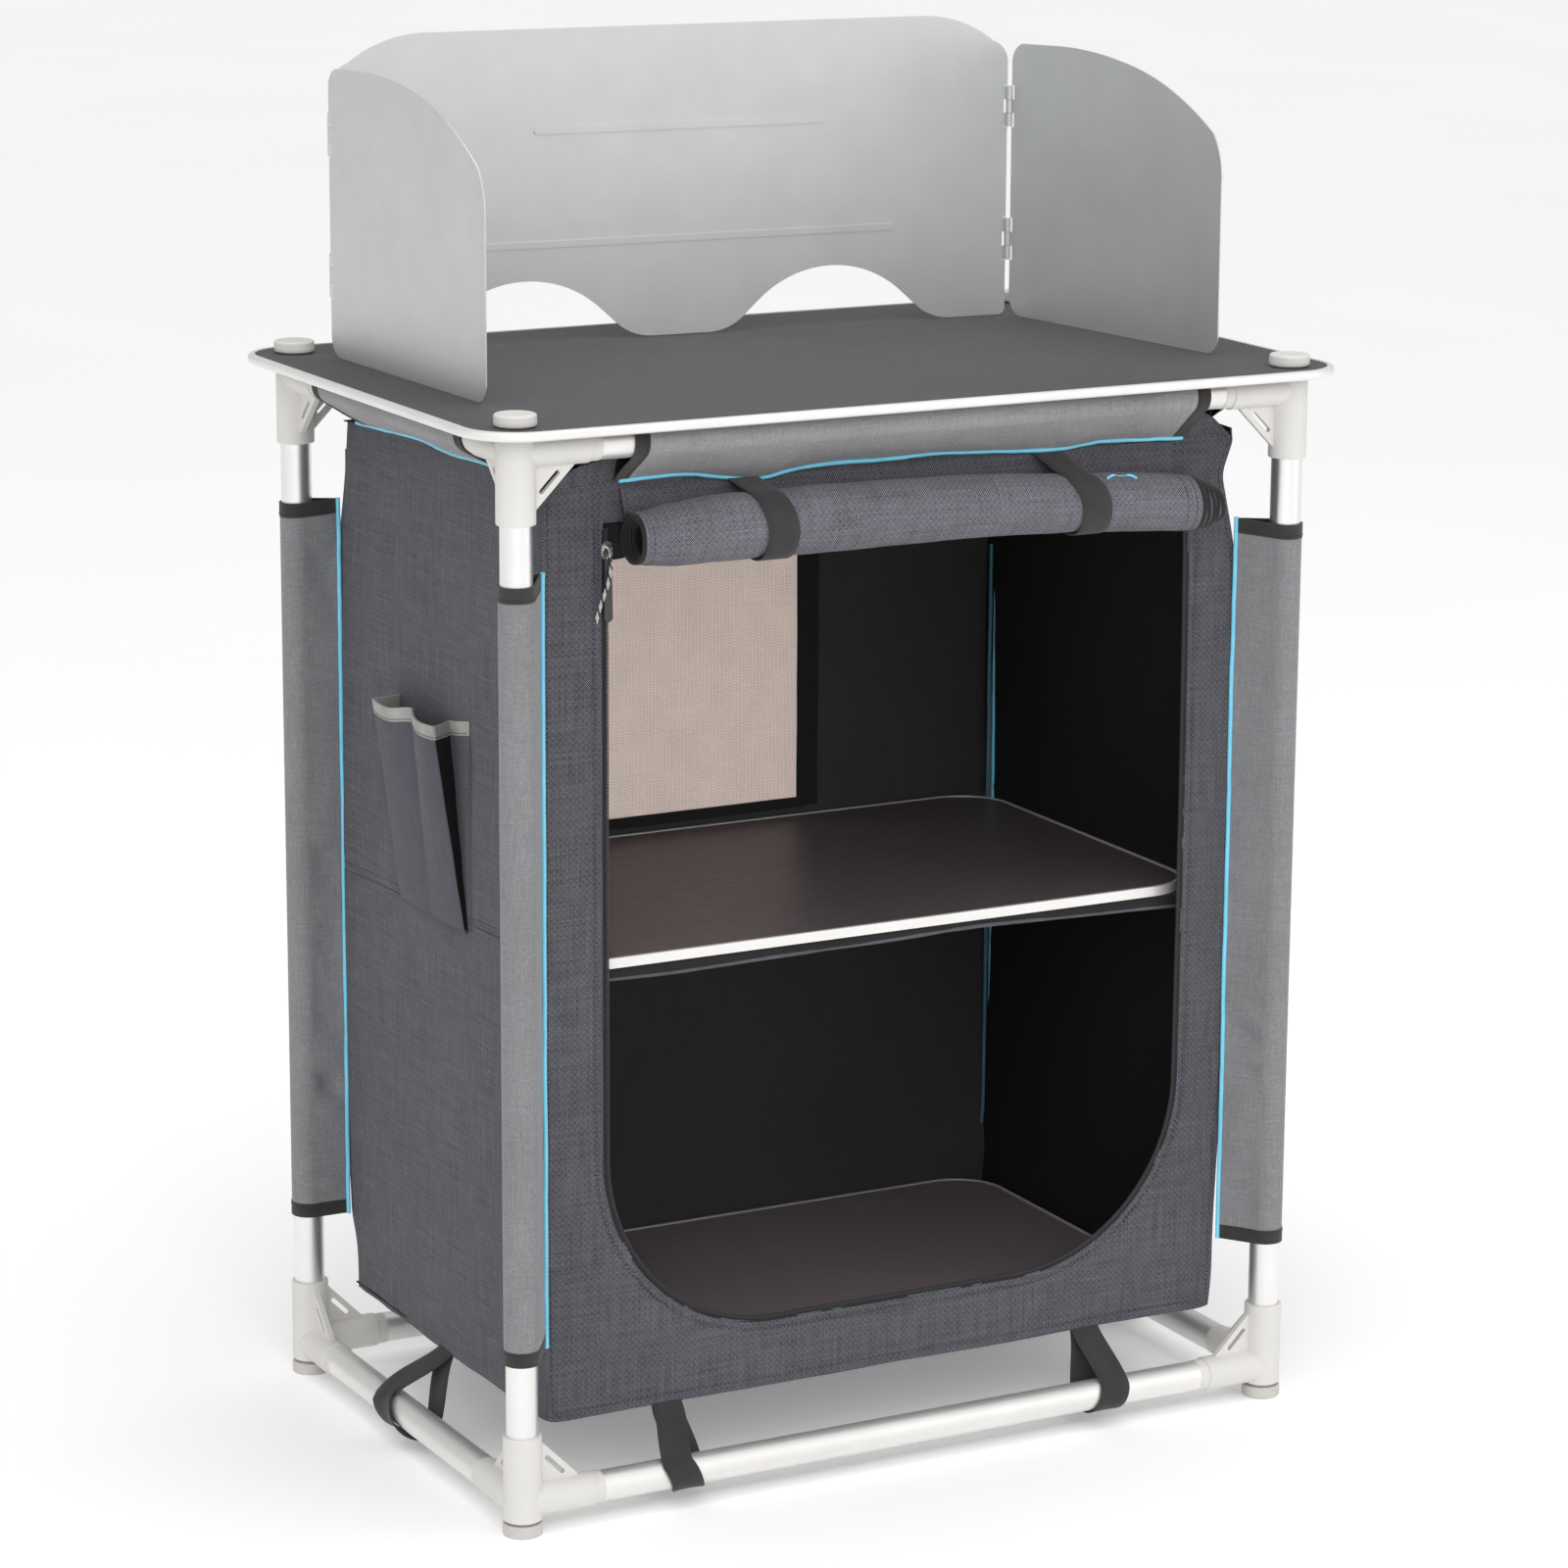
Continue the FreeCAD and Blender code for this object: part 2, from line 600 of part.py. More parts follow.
# --------------------------------------- levelling feet and their screw inserts
def levelling_foot(corner, side_x, side_y):
    body = new_body("levelling_foot_" + corner)
    sketch = new_sketch(body, "XZ_Plane", "foot_section_" + corner)
    radius, height, neck = number("foot_radius"), number("foot_height"), number("foot_neck")
    stem, top = number("foot_stem"), number("foot_stem_high")
    neck_top = height + 4.5
    outline(sketch, [
        ("l", 0, 0), ("l", radius - 1.6, 0), ("a", radius - 0.45, 0.5, radius, 1.8),
        ("l", radius, height - 1.6),
        ("a", radius - 0.45, height - 0.5, radius - 1.5, height),
        ("l", neck, height), ("l", neck, neck_top), ("l", stem, neck_top),
        ("l", stem, top - 1.0), ("l", stem - 1.0, top), ("l", 0, top)])
    revolve(body, sketch, "foot_turned_" + corner)
    place(body, side_x * LEG_X, side_y * LEG_Y, 0)


def screw_insert(corner, side_x, side_y):
    x, y = side_x * LEG_X, side_y * LEG_Y
    low = dim("insert_low")
    length = dim("insert_high") - low
    insert = doc.addObject("Part::Cut", "insert_" + corner)
    insert.Base = cylinder("insert_body_" + corner, x, y, low, dim("insert_radius"), length)
    insert.Tool = cylinder("insert_bore_" + corner, x, y, low - 1.0, dim("insert_bore"),
                           length + 2.0)
    return insert


for corner, side_x, side_y in CORNERS:
    levelling_foot(corner, side_x, side_y)
compound("foot_screw_inserts", [screw_insert(*corner) for corner in CORNERS])

# ----------------------------------------------------------------- the tabletop
TOP_X, TOP_Y, TOP_CORNER = dim("top_x"), dim("top_y"), dim("top_corner")
TOP_BOUNDS = (-TOP_X, TOP_X, -TOP_Y, TOP_Y)
TOP_FACE = dim("top_face")
GROOVE_GAP = 0.03       # play above and below a board in its edge profile
NOSE_ROUND = 3.0        # fillet along the outer edges of the tabletop


def edge_profile(body, bounds, radius, layers):
    """Frame round a board, stacked from (name, low, high, width) layers."""
    for name, low, high, width in layers:
        sketch = new_sketch(body, "XY_Plane", name, low)
        round_rect(sketch, bounds, radius)
        round_rect(sketch, bounds, radius, width)
        pad(body, sketch, high - low, name + "_pad")


def tabletop_board():
    body = new_body("tabletop_board")
    sketch = new_sketch(body, "XY_Plane", "board_outline", dim("board_low"))
    round_rect(sketch, TOP_BOUNDS, TOP_CORNER, dim("edge_web") + 0.05)
    for _, side_x, side_y in CORNERS:
        circle(sketch, side_x * LEG_X, side_y * LEG_Y, dim("cap_bore") + 0.02)
    pad(body, sketch, dim("board_high") - dim("board_low"), "board_sheet")


def tabletop_edge():
    body = new_body("tabletop_edge")
    low = TOP_FACE - dim("edge_height")
    groove_low = dim("board_low") - GROOVE_GAP
    groove_high = dim("board_high") + GROOVE_GAP
    edge_profile(body, TOP_BOUNDS, TOP_CORNER, (
        ("edge_bottom", low, groove_low, dim("edge_lip") + 0.8),
        ("edge_nose", groove_low, groove_high, dim("edge_web")),
        ("edge_top", groove_high, TOP_FACE, dim("edge_lip"))))
    half_x, half_y, radius = TOP_X.number, TOP_Y.number, TOP_CORNER.number

    def on_outside(point):
        past_x = max(abs(point.x) - (half_x - radius), 0)
        past_y = max(abs(point.y) - (half_y - radius), 0)
        if past_x > 0 and past_y > 0:
            return abs(math.hypot(past_x, past_y) - radius) < 1e-3
        return abs(abs(point.x) - half_x) < 1e-3 or abs(abs(point.y) - half_y) < 1e-3

    def at_nose(edge):
        """Level edges of the outer wall, at the very top and bottom."""
        box = edge.BoundBox
        if box.ZLength > 1e-6:
            return False
        if all(abs(box.ZMin - z.number) > 1e-6 for z in (TOP_FACE, low)):
            return False
        first, last = edge.FirstParameter, edge.LastParameter
        return all(on_outside(edge.valueAt(at)) for at in (first, (first + last) / 2))

    fillet_where(body, at_nose, NOSE_ROUND, "edge_nose_round")


def tabletop_cap(corner, side_x, side_y):
    """Turned cap whose stem drops through the board into the connector."""
    body = new_body("tabletop_cap_" + corner)
    sketch = new_sketch(body, "XZ_Plane", "cap_section_" + corner)
    radius, stem, stem_low = number("cap_radius"), number("cap_stem"), number("cap_stem_low")
    seat = TOP_FACE.number + 0.05
    top = seat + number("cap_height")
    outline(sketch, [
        ("l", stem, stem_low + 1.5), ("l", stem, seat), ("l", radius - 1.5, seat),
        ("l", radius - 0.25, seat + 1.2), ("l", radius, seat + 3.2),
        ("l", radius - 0.2, top - 2.0),
        ("a", radius - 0.85, top - 0.65, radius - 2.3, top - 0.05),
        ("l", radius - 3.4, top - 0.35), ("l", 0, top - 0.35),
        ("l", 0, stem_low), ("l", stem - 1.5, stem_low)])
    revolve(body, sketch, "cap_turned_" + corner)
    place(body, side_x * LEG_X, side_y * LEG_Y, 0)


tabletop_board()
tabletop_edge()
for corner, side_x, side_y in CORNERS:
    tabletop_cap(corner, side_x, side_y)

# --------------------------------------------------------------- the windshield
# Each panel is drawn in its own frame: x along the panel, z up from its base.
SHIELD_BASE, SHIELD_THICK = dim("shield_base"), dim("shield_thick")
SHIELD_WIDTH, SHEET_OFFSET = dim("shield_width"), dim("sheet_offset")
HINGES = ((47.0, 82.0), (160.0, 194.0))     # low and high end of each hinge
KNUCKLE_GAP = 0.15      # half the gap between neighbouring knuckles
NOTCH_X = 4.4           # beside a hinge the sheet starts this far from its axis
EDGE_X = 1.1            # everywhere else it starts this far
NOTCHES = [(low - 0.6, high + 0.6) for low, high in HINGES]
NOTCHES_DOWN = [(high, low) for low, high in reversed(NOTCHES)]
RIBS = ((178.0, 436.0, 172.5), (112.0, 499.0, 80.0))    # left end, right end, height
RIB_HALF = 2.6          # half height of a rib, and reach of its rounded ends


def outer_thirds(low, high):
    """Knuckles of the rear panel on one hinge."""
    third = (high - low) / 3.0
    return [(low, low + third - KNUCKLE_GAP), (high - third + KNUCKLE_GAP, high)]


def middle_third(low, high):
    """Knuckle of a side panel on one hinge."""
    third = (high - low) / 3.0
    return [(low + third + KNUCKLE_GAP, high - third - KNUCKLE_GAP)]


REAR_KNUCKLES = [span for hinge in HINGES for span in outer_thirds(*hinge)]
SIDE_KNUCKLES = [span for hinge in HINGES for span in middle_third(*hinge)]


def notch_outline(edge_x, notch_x, notches):
    """Outline pieces down the hinge side of a sheet, one notch per hinge."""
    items = []
    for first, last in notches:
        items += [("l", edge_x, first), ("l", notch_x, first),
                  ("l", notch_x, last), ("l", edge_x, last)]
    return items


def scallop(left, right, rise):
    """Outline pieces of an arch cut into the lower edge, from left to right."""
    half = (right - left) / 2.0
    scale = half / 112.0
    foot_radius, crown_radius = 47.0 * scale, 100.2 * scale
    sweep = math.radians(42.0)
    foot_x = foot_radius * math.sin(sweep)
    foot_z = foot_radius * (1 - math.cos(sweep))
    crown_x = half - crown_radius * math.sin(sweep)
    crown_z = rise - crown_radius * (1 - math.cos(sweep))
    foot_mid_x = foot_radius * math.sin(sweep / 2)
    foot_mid_z = foot_radius * (1 - math.cos(sweep / 2))
    return [("a", left + foot_mid_x, foot_mid_z, left + foot_x, foot_z),
            ("l", left + crown_x, crown_z),
            ("a", left + half, rise, right - crown_x, crown_z),
            ("l", right - foot_x, foot_z),
            ("a", right - foot_mid_x, foot_mid_z, right, 0.0)]


def hinge_leaf(body, tag, axis_x, side, sheet_y, spans):
    """Tabs from the sheet, knuckles round the hinge axis, then the pin bores.
    side is 1 if the sheet lies at greater x than the axis, else -1."""
    axis = as_number(axis_x)
    near, far = sorted((axis + side * 0.4, axis + side * (NOTCH_X + 1.0)))
    for i, (low, high) in enumerate(spans):
        sketch = new_sketch(body, "XY_Plane", "tab_%s_%d" % (tag, i), low)
        rect(sketch, near, far, sheet_y - SHIELD_THICK / 2, sheet_y + SHIELD_THICK / 2)
        pad(body, sketch, high - low, "tab_pad_%s_%d" % (tag, i))
    for i, (low, high) in enumerate(spans):
        sketch = new_sketch(body, "XY_Plane", "knuckle_%s_%d" % (tag, i), low)
        circle(sketch, axis_x, 0, dim("knuckle_radius"))
        pad(body, sketch, high - low, "knuckle_pad_%s_%d" % (tag, i))
    for i, (low, high) in enumerate(spans):
        sketch = new_sketch(body, "XY_Plane", "knuckle_bore_%s_%d" % (tag, i), low - 0.5)
        circle(sketch, axis_x, 0, dim("pin_bore"))
        pocket(body, sketch, high - low + 1.0, "knuckle_bore_cut_%s_%d" % (tag, i),
               reversed_=True)


def rear_panel():
    """Panel with a hinge axis at x = 0 and another at x = shield_width."""
    body = new_body("windshield_rear_panel")
    sketch = new_sketch(body, "XZ_Plane", "rear_outline", -SHEET_OFFSET)
    width = SHIELD_WIDTH.number
    right = width - EDGE_X
    items = [("l", right - 6.0, 0.0), ("a", right - 1.8, 1.8, right, 6.0)]
    items += notch_outline(right, width - NOTCH_X, NOTCHES)
    items += [("l", right, 213.0), ("a", width - 4.6, 225.0, width - 15.0, 232.5),
              ("a", width - 46.0, 249.0, width - 84.0, 255.0), ("l", 84.0, 255.0),
              ("a", 46.0, 249.0, 15.0, 232.5), ("a", 4.6, 225.0, EDGE_X, 213.0)]
    items += notch_outline(EDGE_X, NOTCH_X, NOTCHES_DOWN)
    items += [("l", EDGE_X, 6.0), ("a", EDGE_X + 1.8, 1.8, EDGE_X + 6.0, 0.0),
              ("l", 54.0, 0.0)]
    items += scallop(54.0, 280.0, 50.5)
    items += [("l", 332.0, 0.0)]
    items += scallop(332.0, 556.0, 50.0)
    outline(sketch, items)
    pad(body, sketch, SHIELD_THICK, "rear_sheet", midplane=True)
    # two ribs on the front face
    for i, (left, right, z) in enumerate(RIBS):
        sketch = new_sketch(body, "XZ_Plane", "rib_%d" % i, -SHEET_OFFSET)
        low, high = z - RIB_HALF, z + RIB_HALF
        outline(sketch, [("l", right, low), ("a", right + RIB_HALF, z, right, high),
                         ("l", left, high), ("a", left - RIB_HALF, z, left, low)])
        pad(body, sketch, SHIELD_THICK * 0.5 + 1.4, "rib_pad_%d" % i)
    hinge_leaf(body, "l", 0, 1, SHEET_OFFSET, REAR_KNUCKLES)
    hinge_leaf(body, "r", SHIELD_WIDTH, -1, SHEET_OFFSET, REAR_KNUCKLES)
    place(body, dim("shield_x"), dim("shield_y"), SHIELD_BASE, dim("shield_turn"))


def side_panel(label, turn, x, y, sheet_y):
    """Panel that runs from its hinge axis at x = 0; sheet_y is its sheet's middle."""
    body = new_body(label)
    sketch = new_sketch(body, "XZ_Plane", label + "_outline", -sheet_y)
    items = [("l", 270.0, 0.0), ("a", 280.5, 4.6, 284.0, 16.0), ("l", 284.0, 139.0),
             ("a", 281.5, 160.0, 272.0, 178.0), ("a", 214.0, 209.0, 150.0, 226.0),
             ("a", 100.0, 231.6, 50.0, 231.6), ("l", 20.0, 230.6),
             ("a", 6.5, 226.0, EDGE_X, 216.0)]
    items += notch_outline(EDGE_X, NOTCH_X, NOTCHES_DOWN)
    items += [("l", EDGE_X, 16.0), ("a", 6.5, 4.5, 20.0, 0.0)]
    outline(sketch, items)
    pad(body, sketch, SHIELD_THICK, label + "_sheet", midplane=True)
    hinge_leaf(body, label, 0, 1, sheet_y, SIDE_KNUCKLES)
    place(body, x, y, SHIELD_BASE, turn)


def hinge_pins(side, x, y):
    compound("windshield_hinge_pins_" + side,
             [cylinder("pin_%s_%d" % (side, i), x, y, SHIELD_BASE + low + 0.3,
                       dim("pin_radius"), high - low - 0.6)
              for i, (low, high) in enumerate(HINGES)])


shield_angle = math.radians(number("shield_turn"))
LEFT_HINGE = (dim("shield_x"), dim("shield_y"))
RIGHT_HINGE = (
    Size(number("shield_x") + SHIELD_WIDTH.number * math.cos(shield_angle),
         "(Dims.shield_x + Dims.shield_width * cos(Dims.shield_turn * 1 deg))"),
    Size(number("shield_y") + SHIELD_WIDTH.number * math.sin(shield_angle),
         "(Dims.shield_y + Dims.shield_width * sin(Dims.shield_turn * 1 deg))"))

rear_panel()
side_panel("windshield_left_panel", dim("shield_left_turn"), *LEFT_HINGE, -SHEET_OFFSET)
side_panel("windshield_right_panel", dim("shield_right_turn"), *RIGHT_HINGE, SHEET_OFFSET)
hinge_pins("left", *LEFT_HINGE)
hinge_pins("right", *RIGHT_HINGE)

# ------------------------------------------------------------- cabinet of cloth
CAB_X, CAB_FRONT, CAB_BACK = dim("cab_x"), dim("cab_front"), dim("cab_back")
CAB_LOW, CAB_HIGH, CLOTH = dim("cab_low"), dim("cab_high"), dim("cloth")
INNER_X = CAB_X - CLOTH - 0.1       # half width between the side walls
WINDOW_X = dim("window_x")
OPEN_LEFT, OPEN_RIGHT = number("open_left"), number("open_right")
OPEN_LOW, OPEN_HIGH, OPEN_CORNER = (number("open_low"), number("open_high"),
                                    number("open_corner"))


def cloth_panel(label, role, bounds, thick, x=0, y=0, cut_hole=None):
    """Flat panel of cloth on a plane; cut_hole(sketch) draws an opening in it."""
    body = new_body(label)
    sketch = new_sketch(body, role, label + "_outline")
    rect(sketch, *bounds)
    if cut_hole:
        cut_hole(sketch)
    pad(body, sketch, thick, label + "_cloth")
    place(body, x, y, 0)


def window_hole(sketch):
    rect(sketch, -WINDOW_X, WINDOW_X, dim("window_low"), dim("window_high"))


def corner_mid(inset):
    """Middle of a lower corner arc of the front opening, drawn at an inset:
    its distance from the opening's side and from its lower edge."""
    return inset + (OPEN_CORNER - inset) * (1 - math.sqrt(0.5))


def front_hole(sketch):
    mid = corner_mid(0.0)
    bend_z = OPEN_LOW + OPEN_CORNER
    outline(sketch, [("l", OPEN_RIGHT - OPEN_CORNER, OPEN_LOW),
                     ("a", OPEN_RIGHT - mid, OPEN_LOW + mid, OPEN_RIGHT, bend_z),
                     ("l", OPEN_RIGHT, OPEN_HIGH), ("l", OPEN_LEFT, OPEN_HIGH),
                     ("l", OPEN_LEFT, bend_z),
                     ("a", OPEN_LEFT + mid, OPEN_LOW + mid, OPEN_LEFT + OPEN_CORNER, OPEN_LOW)])


def level_cloth(name, low):
    """Floor or roof of the cabinet, between its walls."""
    body = new_body("cabinet_" + name)
    sketch = new_sketch(body, "XY_Plane", name + "_outline", low)
    rect(sketch, -INNER_X, INNER_X, CAB_FRONT + CLOTH + 0.1, CAB_BACK - CLOTH - 0.1)
    pad(body, sketch, CLOTH, name + "_cloth")


side_bounds = (CAB_FRONT, CAB_BACK, CAB_LOW, CAB_HIGH)
cross_bounds = (-INNER_X, INNER_X, CAB_LOW, CAB_HIGH)
mesh_x = WINDOW_X - 0.1
mesh_bounds = (-mesh_x, mesh_x, dim("window_low") + 0.1, dim("window_high") - 0.1)
cloth_panel("cabinet_left_wall", "YZ_Plane", side_bounds, CLOTH, x=-CAB_X)
cloth_panel("cabinet_right_wall", "YZ_Plane", side_bounds, CLOTH, x=CAB_X - CLOTH)
cloth_panel("cabinet_rear_wall", "XZ_Plane", cross_bounds, CLOTH, y=CAB_BACK,
            cut_hole=window_hole)
cloth_panel("rear_mesh_window", "XZ_Plane", mesh_bounds, 0.6, y=CAB_BACK - 0.45)
cloth_panel("cabinet_front_panel", "XZ_Plane", cross_bounds, CLOTH, y=CAB_FRONT + CLOTH,
            cut_hole=front_hole)
level_cloth("floor", dim("floor_high") - CLOTH)
level_cloth("roof", CAB_HIGH - CLOTH - 0.2)

# ---------------------------------------------------------------------- the zip
ZIP_TOP = 786.0
ZIP_OUTER = 0.1                     # gap from the cloth edge to the coil
SLIDER_X = dim("open_left") + 2.3
SLIDER_Y = CAB_FRONT - 0.8          # back of the slider plate


def zip_tape():
    """U-shaped coil just inside the edge of the front opening."""
    body = new_body("zip_tape")
    sketch = new_sketch(body, "XZ_Plane", "zip_outline")
    outer, inner = ZIP_OUTER, number("zip_wide")
    outer_mid, inner_mid = corner_mid(outer), corner_mid(inner)
    left, right, low = OPEN_LEFT, OPEN_RIGHT, OPEN_LOW
    bend_left, bend_right = left + OPEN_CORNER, right - OPEN_CORNER
    bend_z = low + OPEN_CORNER
    outline(sketch, [
        ("l", bend_right, low + outer),
        ("a", right - outer_mid, low + outer_mid, right - outer, bend_z),
        ("l", right - outer, ZIP_TOP), ("l", right - inner, ZIP_TOP),
        ("l", right - inner, bend_z),
        ("a", right - inner_mid, low + inner_mid, bend_right, low + inner),
        ("l", bend_left, low + inner),
        ("a", left + inner_mid, low + inner_mid, left + inner, bend_z),
        ("l", left + inner, ZIP_TOP), ("l", left + outer, ZIP_TOP),
        ("l", left + outer, bend_z),
        ("a", left + outer_mid, low + outer_mid, bend_left, low + outer)])
    pad(body, sketch, 2.2, "zip_coil")
    place(body, 0, CAB_FRONT + 1.9, 0)


def zip_slider():
    """Plate with a bridge in front of it, on the left run of the zip."""
    body = new_body("zip_slider")
    sketch = new_sketch(body, "XZ_Plane", "slider_outline")
    outline(sketch, [("l", 3.4, -6.0), ("a", 4.6, 0.5, 3.8, 6.0), ("l", 1.6, 8.0),
                     ("l", -1.6, 8.0), ("l", -3.8, 6.0), ("a", -4.6, 0.5, -3.4, -6.0)])
    pad(body, sketch, 1.3, "slider_plate")
    sketch = new_sketch(body, "YZ_Plane", "bridge_outline")
    outline(sketch, [("l", -6.1, -3.6), ("l", -6.1, 3.6), ("l", -1.2, 4.6), ("l", -1.2, 3.0),
                     ("l", -4.9, 2.4), ("l", -4.9, -2.4), ("l", -1.2, -3.0),
                     ("l", -1.2, -4.6)])
    pad(body, sketch, 1.8, "slider_bridge", midplane=True)
    place(body, SLIDER_X, SLIDER_Y, dim("slider_high"))


def zip_pull():
    """Tab that hangs from the bridge by a slot near its top."""
    body = new_body("zip_pull")
    sketch = new_sketch(body, "XZ_Plane", "pull_outline")
    outline(sketch, [("l", 2.8, -0.6), ("a", 0.0, 0.95, -2.8, -0.6), ("l", -3.6, -50.0),
                     ("a", 0.0, -54.0, 3.6, -50.0)])
    rect(sketch, -1.5, 1.5, -6.2, -0.9)
    pad(body, sketch, 0.9, "pull_tab", midplane=True)
    place(body, SLIDER_X, SLIDER_Y - 3.2, dim("slider_high"))


zip_tape()
zip_slider()
zip_pull()

# ------------------------------------------------------------------ the shelves
SHELF_X = dim("shelf_x")
SHELF_BOUNDS = (-SHELF_X, SHELF_X, dim("shelf_front"), dim("shelf_back"))
SHELF_CORNER = dim("shelf_corner")
SHELF_BOARD_DROP = 4.2      # shelf top down to the underside of its board
SHELF_BOARD_THICK = 3.6


def shelf(label, top):
    body = new_body(label + "_board")
    sketch = new_sketch(body, "XY_Plane", label + "_board_outline", top - SHELF_BOARD_DROP)
    round_rect(sketch, SHELF_BOUNDS, SHELF_CORNER, 1.6)
    pad(body, sketch, SHELF_BOARD_THICK, label + "_sheet")
    groove_low = top - (SHELF_BOARD_DROP + GROOVE_GAP)
    groove_high = top - (SHELF_BOARD_DROP - SHELF_BOARD_THICK - GROOVE_GAP)
    edge_profile(new_body(label + "_edge"), SHELF_BOUNDS, SHELF_CORNER, (
        (label + "_edge_low", top - dim("shelf_thick"), groove_low, 4.0),
        (label + "_edge_nose", groove_low, groove_high, 1.55),
        (label + "_edge_lip", groove_high, top, 3.2)))


def shelf_sling():
    """Cloth sling under the middle shelf, with its hem hanging in front."""
    body = new_body("shelf_sling")
    sketch = new_sketch(body, "YZ_Plane", "sling_section")
    top = number("mid_shelf_high") - number("shelf_thick") - 0.6
    back = (CAB_BACK - CLOTH).number - 0.3
    outline(sketch, [("l", -170.0, top - 22.0), ("l", -168.4, top - 22.0),
                     ("l", -168.4, top - 4.0), ("l", -160.0, top - 1.6),
                     ("l", back, top - 1.6), ("l", back, top), ("l", -162.0, top),
                     ("l", -170.0, top - 3.0)])
    pad(body, sketch, (INNER_X - 0.3) * 2, "sling_cloth", midplane=True)


shelf("mid_shelf", dim("mid_shelf_high"))
shelf("bottom_shelf", dim("low_shelf_high"))
shelf_sling()

# ------------------------------------------------- helpers for wrapped pieces
ALONG_X, ALONG_Y, ALONG_Z = Vector(1, 0, 0), Vector(0, 1, 0), Vector(0, 0, 1)
# stand a section drawn in x, y up in another plane
XY_TO_YZ = FreeCAD.Matrix(0, 0, 1, 0, 1, 0, 0, 0, 0, 1, 0, 0, 0, 0, 0, 1)
XY_TO_XZ = FreeCAD.Matrix(1, 0, 0, 0, 0, 0, 1, 0, 0, 1, 0, 0, 0, 0, 0, 1)
TUBE_RADIUS = TUBE.number
WRAP_INSIDE = TUBE_RADIUS + 0.15        # bore of cloth wrapped round a tube
CAB_SIDE, CAB_FACE, CAB_REAR = CAB_X.number, CAB_FRONT.number, CAB_BACK.number


def drop_section(x, y, radius, bore, tip_x, tip_y, tip_radius):
    """Teardrop face: the tangent hull of a circle and a small tip, less a bore."""
    distance = math.hypot(tip_x - x, tip_y - y)
    toward_x, toward_y = (tip_x - x) / distance, (tip_y - y) / distance
    spread = math.acos((radius - tip_radius) / distance)
    base = math.atan2(toward_y, toward_x)

    def touch(centre_x, centre_y, size, angle):
        return Vector(centre_x + size * math.cos(angle), centre_y + size * math.sin(angle), 0)

    round_a = touch(x, y, radius, base + spread)
    round_b = touch(x, y, radius, base - spread)
    round_back = Vector(x - radius * toward_x, y - radius * toward_y, 0)
    tip_a = touch(tip_x, tip_y, tip_radius, base + spread)
    tip_b = touch(tip_x, tip_y, tip_radius, base - spread)
    tip_end = Vector(tip_x + tip_radius * toward_x, tip_y + tip_radius * toward_y, 0)
    face = Part.Face(Part.Wire([Part.Arc(round_a, round_back, round_b).toShape(),
                                Part.makeLine(round_b, tip_b),
                                Part.Arc(tip_b, tip_end, tip_a).toShape(),
                                Part.makeLine(tip_a, round_a)]))
    if not bore:
        return face
    return face.cut(Part.Face(Part.Wire([Part.makeCircle(bore, Vector(x, y, 0))])))


def extrude_between(face, direction, start, end):
    solid = face.extrude(direction * (end - start))
    solid.translate(direction * start)
    return solid


# --------------------------------------------------- rolled door and its straps
# station: (x, y, z) of the roll's axis and its radius
ROLL_STATIONS = {}
for name in ("left", "swell", "strap_left", "mid", "strap_right", "right"):
    radius = number("roll_%s_radius" % name)
    axis_y = CAB_FACE - number("roll_gap") - radius
    ROLL_STATIONS[name] = (number("roll_" + name), axis_y, number("roll_%s_z" % name), radius)


def door_strap(name):
    """Band round the roll that narrows to its sewn end at the front panel."""
    x, y, z, radius = ROLL_STATIONS[name]
    half_wide = number("strap_wide") / 2
    top, tip_y = number("strap_high"), CAB_FACE - 2.1
    outer = drop_section(y, z, radius + 3.1, 0, tip_y, top, 1.6)
    inner = drop_section(y, z, radius + 1.9, 0, tip_y, top - 2.0, 0.3)
    band = outer.cut(inner).transformGeometry(XY_TO_YZ)
    strap = extrude_between(band, ALONG_X, x - half_wide, x + half_wide)
    return max(strap.Solids, key=lambda solid: solid.Volume)


roll_wires = [Part.Wire([Part.makeCircle(radius, Vector(x, y, z), ALONG_X)])
              for x, y, z, radius in ROLL_STATIONS.values()]
fixed_piece("door_roll", Part.makeLoft(roll_wires, True, False))
fixed_piece("door_straps",
            Part.makeCompound([door_strap("strap_left"), door_strap("strap_right")]))

# --------------------------------------------------- cloth sleeves on the frame
# low and high end of each leg sleeve
LEG_SLEEVES = {"front_left": (139.0, 752.0), "front_right": (135.0, 744.5),
               "rear_left": (139.0, 749.0), "rear_right": (137.0, 745.0)}
# rail position, tip position, stand-up matrix, run direction, start and end of the run
RAIL_SLEEVES = (
    (-LEG_Y.number, CAB_FACE - 2.6, XY_TO_YZ, ALONG_X, -248.0, 259.0),
    (LEG_Y.number, CAB_REAR + 2.6, XY_TO_YZ, ALONG_X, -250.0, 250.0),
    (-LEG_X.number, -(CAB_SIDE + 2.6), XY_TO_XZ, ALONG_Y, -141.0, 141.0),
    (LEG_X.number, CAB_SIDE + 2.6, XY_TO_XZ, ALONG_Y, -141.0, 141.0))


def leg_sleeve(corner, side_x, side_y):
    """Teardrop sleeve whose tip points at the cabinet's corner."""
    if side_y < 0:
        tip_x, tip_y = side_x * (CAB_SIDE + 4.1), CAB_FACE - 4.1
    else:
        tip_x, tip_y = side_x * (CAB_SIDE + 3.6), CAB_REAR + 0.8
    face = drop_section(side_x * LEG_X.number, side_y * LEG_Y.number, TUBE_RADIUS + 1.5,
                        WRAP_INSIDE, tip_x, tip_y, 1.6)
    return extrude_between(face, ALONG_Z, *LEG_SLEEVES[corner])


